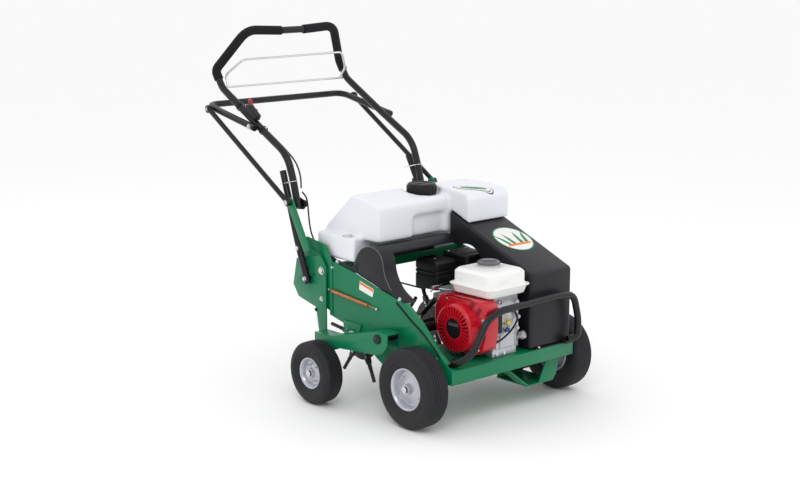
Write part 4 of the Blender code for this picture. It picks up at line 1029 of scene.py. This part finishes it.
def make_belt_guard():
    rear = 0.297
    inside = 0.087
    outside = PLATE_OUT - 0.0045
    wall = 0.003
    foot = DECK_TOP + 0.0003
    outer = [(GUARD_FRONT[0], foot), GUARD_FRONT, (rear, slope_z(rear)), (rear, foot)]
    solid = bevelled(plate(outer, inside, outside), 0.0110, 6)
    inner = [(-0.115, 0.150), (-0.115, 0.4808), (0.350, slope_z(0.350) - 0.0034), (0.350, 0.150)]
    hollow = bevelled(plate(inner, inside + wall, outside - wall), 0.0090, 4)
    skirt = [(-0.085, 0.150), (-0.085, 0.216), (-0.048, 0.252), (0.032, 0.330), (0.112, 0.387)]
    skirt += [(0.215, 0.410), (0.350, 0.445), (0.350, 0.150)]
    notch = plate(skirt, outside - 0.020, outside + 0.020)
    window = [(0.120, 0.150), (0.120, 0.460)] + arc((0.200, 0.465), 0.080, 180, 60, 24)
    window += [(0.350, 0.545), (0.350, 0.150)]
    doorway = plate(window, inside - 0.020, inside + 0.020)
    bore = rod(CRANK, 0.016, inside - 0.020, inside + 0.020)
    cover = cut(solid, hollow, notch, doorway, bore)
    foot = bevelled(box((0.110, -0.1265, DECK_TOP + 0.0003), (0.285, -0.114, 0.2150)), 0.0012)
    piece("belt_cover", merged(cover, foot), "charcoal", "root", ("belt_guard",))
    screws = bolts((0.130, -0.1205, 0.2150), (0.265, -0.1205, 0.2150), direction=(0, 0, 1), size=0.0042)
    piece("belt_cover_screws", screws, "steel", "root")
    tilt = (0, -GUARD_SLOPE, 1)
    middle = (0.203, 0.083, slope_z(0.083) + 0.0002)
    piece("guard_emblem_rim", placed(oval(0.0790, 0.0790, 0.0, 0.0006), middle, tilt), "leaf", "root")
    piece("guard_emblem", placed(oval(0.0740, 0.0740, 0.0, 0.0009), middle, tilt), "sticker", "root")
    blades = [blade(x, lean) for x, lean in ((-0.042, -0.4), (-0.018, -0.15), (0.018, 0.15), (0.042, 0.4))]
    piece("guard_emblem_blades", placed(merged(*blades), middle, tilt), "leaf", "root")
    strip = softened([(-0.058, -0.042), (0.058, -0.042), (0.052, -0.030), (-0.052, -0.030)], 0.004)
    ground = bevelled(plate(strip, 0.0, 0.0013, axis="Z"), 0.0002)
    piece("guard_emblem_ground", placed(ground, middle, tilt), "orange", "root")


def oval(a, b, low, high):
    outline = [(a * math.cos(2 * math.pi * i / 72), b * math.sin(2 * math.pi * i / 72)) for i in range(72)]
    return plate(outline, low, high, axis="Z")


def blade(x, lean):
    """One plain grass blade of the emblem."""
    outline = [(x - 0.008, -0.030), (x + 0.008, -0.030), (x + 0.006 + lean * 0.028, 0.008)]
    outline += [(x + lean * 0.070, 0.042), (x - 0.006 + lean * 0.028, 0.008)]
    return plate(softened(outline, 0.003, 3), 0.0, 0.0013, axis="Z")


def make_shroud():
    inside = 0.086
    arch = [(0.120, 0.396), (0.186, 0.430), (0.222, 0.480), (0.232, 0.535), (0.250, 0.560)]
    arch += [(0.290, 0.573), (0.330, 0.566), (0.358, 0.544), (0.380, 0.505), (0.390, 0.470)]
    hollow = [(0.118, 0.380), (0.1895, 0.428), (0.2255, 0.480), (0.2355, 0.534), (0.252, 0.557)]
    hollow += [(0.290, 0.5695), (0.328, 0.563), (0.3555, 0.542)]
    hollow += [(0.3765, 0.505), (0.388, 0.460), (0.400, 0.380)]
    solid = bevelled(plate(eased(arch), -0.2955, inside), 0.0028, 4, 50)
    cavity = plate(eased(hollow), -0.2925, inside + 0.020)
    window = box((-0.235, 0.050, 0.350), (inside + 0.020, 0.246, 0.560))
    rear = box((-0.290, 0.330, 0.350), (inside + 0.020, 0.420, 0.500))
    piece("engine_arch", cut(solid, cavity, window, rear), "charcoal", "root", ("engine_shroud",))
    # A lighter grey rod along the arch's top edge: painted highlight on that edge.
    lip = swept([Vector((-0.2945, y, z + 0.0008)) for y, z in eased(arch)[1:-1]], 0.0014, 10)
    piece("arch_edge_highlight", lip, "grey", "root")
    tail = [(0.5157, 0.5080), (0.4330, 0.4893), (0.3959, 0.4832), (0.3663, 0.5051)]
    tail += [(0.3660, 0.4700), (0.3813, 0.4640), (0.5236, 0.4820)]
    foot = [(0.118, 0.392), (0.150, 0.392), (0.192, 0.430), (0.186, 0.436), (0.150, 0.424), (0.122, 0.412)]
    flanges = [bevelled(plate(softened(part, 0.004), -0.2970, -0.2935), 0.0008) for part in (tail, foot)]
    piece("arch_flanges", merged(*flanges), "charcoal", "root")
    heads = bolts((-0.2970, 0.138, 0.4120), (-0.2970, 0.474, 0.4920), direction=(-1, 0, 0), size=0.0055)
    piece("arch_bolts", heads, "steel", "root")


def eased(outline, steps=5):
    """An open arch with its inner corners rounded, as an outline that closes along its foot."""
    path = [Vector((y, z, 0)) for y, z in outline]
    return [(point.x, point.y) for point in rounded(path, 0.030, steps)]


def make_water_tank():
    wing = box((-0.287, 0.394, 0.4965), (0.287, 0.602, 0.585))
    hump = [(0.302, 0.576), (0.302, 0.700), (0.318, 0.712), (0.450, 0.733), (0.598, 0.600)]
    hump += [(0.602, 0.550), (0.400, 0.550), (0.396, 0.576)]
    body = plate(hump, -0.250, 0.296)
    nose = [(0.203, slope_z(0.203) + 0.003), (0.203, 0.705), (0.220, 0.729), (0.320, 0.737)]
    nose += [(0.440, 0.735), (0.440, 0.650), (0.310, slope_z(0.310) + 0.003)]
    block = plate(nose, 0.094, 0.3045)
    panel = bevelled(box((-0.085, 0.270, 0.560), (0.078, 0.318, 0.658)), 0.018, 4)
    groove = box((0.085, 0.150, 0.700), (0.092, 0.460, 0.780))
    seat = rod(CAP, 0.068, 0.7090, 0.800, "Z")
    shell = melted(merged_solid(wing, body, block), 0.0050, 22, panel, groove, seat)
    label = draped(0.075, 0.030, LABEL_SPOT, LABEL_ALONG, shell, 0.0008)
    inside = draped(0.071, 0.027, LABEL_SPOT, LABEL_ALONG, shell, 0.0011)
    field = draped(0.050, 0.015, LABEL_SPOT, LABEL_ALONG, shell, 0.0014)
    mouth = turned([(0.041, 0.700), (0.051, 0.700), (0.051, 0.7085), (0.041, 0.7085)], CAP, "Z")
    piece("water_tank_shell", merged(shell, mouth), "tank", "root", ("water_tank",), 60)
    piece("tank_label_edge", label, "grey", "root")
    piece("tank_label", inside, "sticker", "root")
    piece("tank_label_field", field, "leaf", "root")
    lug = bevelled(box((-0.284, 0.420, 0.5835), (-0.248, 0.462, 0.5875)), 0.0012, 3)
    lug = merged(lug, bolt((-0.266, 0.441, 0.5875), (0, 0, 1), 0.0060))
    piece("tank_lug", lug, "steel", "root")
    cap = scalloped(CAP, 0.0525, 0.0560, 18, 0.7160, 0.7420)
    crown = [(0, 0.7420), (0.0525, 0.7420), (0.0510, 0.7475), (0.0470, 0.7500)]
    crown += [(0.0400, 0.7500), (0.0380, 0.7480), (0, 0.7480)]
    crown = turned(crown, CAP, "Z", 72, closed=False)
    skirt = turned([(0.0400, 0.7092), (0.0540, 0.7092), (0.0540, 0.7165), (0.0400, 0.7165)], CAP, "Z", 72)
    low = (CAP[0] - 0.036, CAP[1] - 0.0045, 0.7470)
    grip = bevelled(box(low, (CAP[0] + 0.036, CAP[1] + 0.0045, 0.7500)), 0.0012)
    piece("tank_cap_ribbed", merged(cap, crown, skirt, grip), "black", "tank_cap_set", ("tank_cap",))


def scalloped(centre, low, high, lobes, bottom, top):
    """A disc with rounded lobes round its edge."""
    outline = []
    for i in range(lobes * 10):
        turn = 2 * math.pi * i / (lobes * 10)
        radius = low + (high - low) * abs(math.cos(lobes * turn / 2))
        outline.append((centre[0] + radius * math.cos(turn), centre[1] + radius * math.sin(turn)))
    return bevelled(plate(outline, bottom, top, axis="Z"), 0.0010, 2, 60)


def draped(a, b, centre, along, shell, lift, rings=6, sides=64):
    """An oval sheet laid on shell's top, its long half a along the given direction."""
    corners = [vert.co.copy() for vert in shell.vertices]
    tree = BVHTree.FromPolygons(corners, [face.vertices[:] for face in shell.polygons])
    run = Vector(along).normalized()
    points = []
    for ring in range(rings + 1):
        for i in range(sides if ring else 1):
            turn = 2 * math.pi * i / sides
            u = a * ring / rings * math.cos(turn)
            v = b * ring / rings * math.sin(turn)
            x = centre[0] + u * run.x - v * run.y
            y = centre[1] + u * run.y + v * run.x
            hit = tree.ray_cast(Vector((x, y, 1.0)), Vector((0, 0, -1)))[0]
            points.append((x, y, hit.z + lift))
    faces = [[0, 1 + i, 1 + (i + 1) % sides] for i in range(sides)]
    for ring in range(1, rings):
        row = 1 + (ring - 1) * sides
        for i in range(sides):
            j = (i + 1) % sides
            faces.append([row + i, row + sides + i, row + sides + j, row + j])
    return mesh_of(points, faces)


def make_side_label():
    """A plain sticker on the right side plate: a white panel with a coloured strip."""
    x = -PLATE_OUT - 0.0001
    outline = [(0.3458, 0.4437), (0.2700, 0.4255), (0.2774, 0.3952), (0.3497, 0.4114)]
    piece("side_label", plate(softened(outline, 0.004), x - 0.0005, x), "sticker", "root")
    strip = [(0.3444, 0.4415), (0.2716, 0.4240), (0.2738, 0.4150), (0.3454, 0.4320)]
    piece("side_label_strip", plate(strip, x - 0.0008, x), "orange", "root")


# Stage
def make_stage():
    bm = bmesh.new()
    bmesh.ops.create_circle(bm, cap_ends=True, segments=96, radius=40)
    floor = bpy.data.objects.new("floor", to_mesh(bm))
    floor.location.z = -0.0005
    made = bpy.data.materials.new("pale_floor")
    made.use_nodes = True
    shader = made.node_tree.nodes["Principled BSDF"]
    shader.inputs["Base Color"].default_value = (0.95, 0.95, 0.95, 1)
    shader.inputs["Roughness"].default_value = 0.7
    floor.data.materials.append(made)
    bpy.context.scene.collection.objects.link(floor)
    world = bpy.data.worlds.new("studio")
    world.use_nodes = True
    sky = world.node_tree.nodes["Background"]
    sky.inputs["Color"].default_value = (1, 1, 1, 1)
    sky.inputs["Strength"].default_value = 1.0
    bpy.context.scene.view_settings.view_transform = "Standard"
    bpy.context.scene.world = world
    area("key", (-2.6, -2.6, 3.6), 1.6, 32)
    area("fill", (3.0, -2.2, 2.2), 2.0, 8)
    area("back", (-0.6, 3.2, 3.0), 2.0, 12)


def area(name, place, size, power):
    lamp = bpy.data.lights.new(name, "AREA")
    lamp.size = size
    lamp.energy = power
    made = bpy.data.objects.new(name, lamp)
    made.location = place
    made.rotation_euler = (Vector((0, 0, 0.5)) - Vector(place)).to_track_quat("-Z", "Y").to_euler()
    bpy.context.scene.collection.objects.link(made)


def make_camera():
    camera = bpy.data.cameras.new("camera")
    camera.lens = 68.85
    camera.sensor_width = 36
    made = bpy.data.objects.new("camera", camera)
    place = Vector((-3.7153, -3.6748 - MIDDLE, 1.6646))
    back = Vector((-0.6533, -0.7286, 0.2060))
    made.location = place
    made.rotation_euler = back.to_track_quat("Z", "Y").to_euler()
    bpy.context.scene.collection.objects.link(made)
    bpy.context.scene.camera = made


make_camera()
make_stage()
make_frame()
make_guard_bar()
make_wheels()
make_reel()
make_springs()
make_lever_bolts()
make_lower_tubes()
make_upper_handle()
make_lift_bar()
make_links()
make_bail()
make_throttle()
make_cables()
make_recoil_cover()
make_engine_block()
make_fuel_tank()
make_cleaner()
make_drive()
make_belt_guard()
make_shroud()
make_water_tank()
make_side_label()
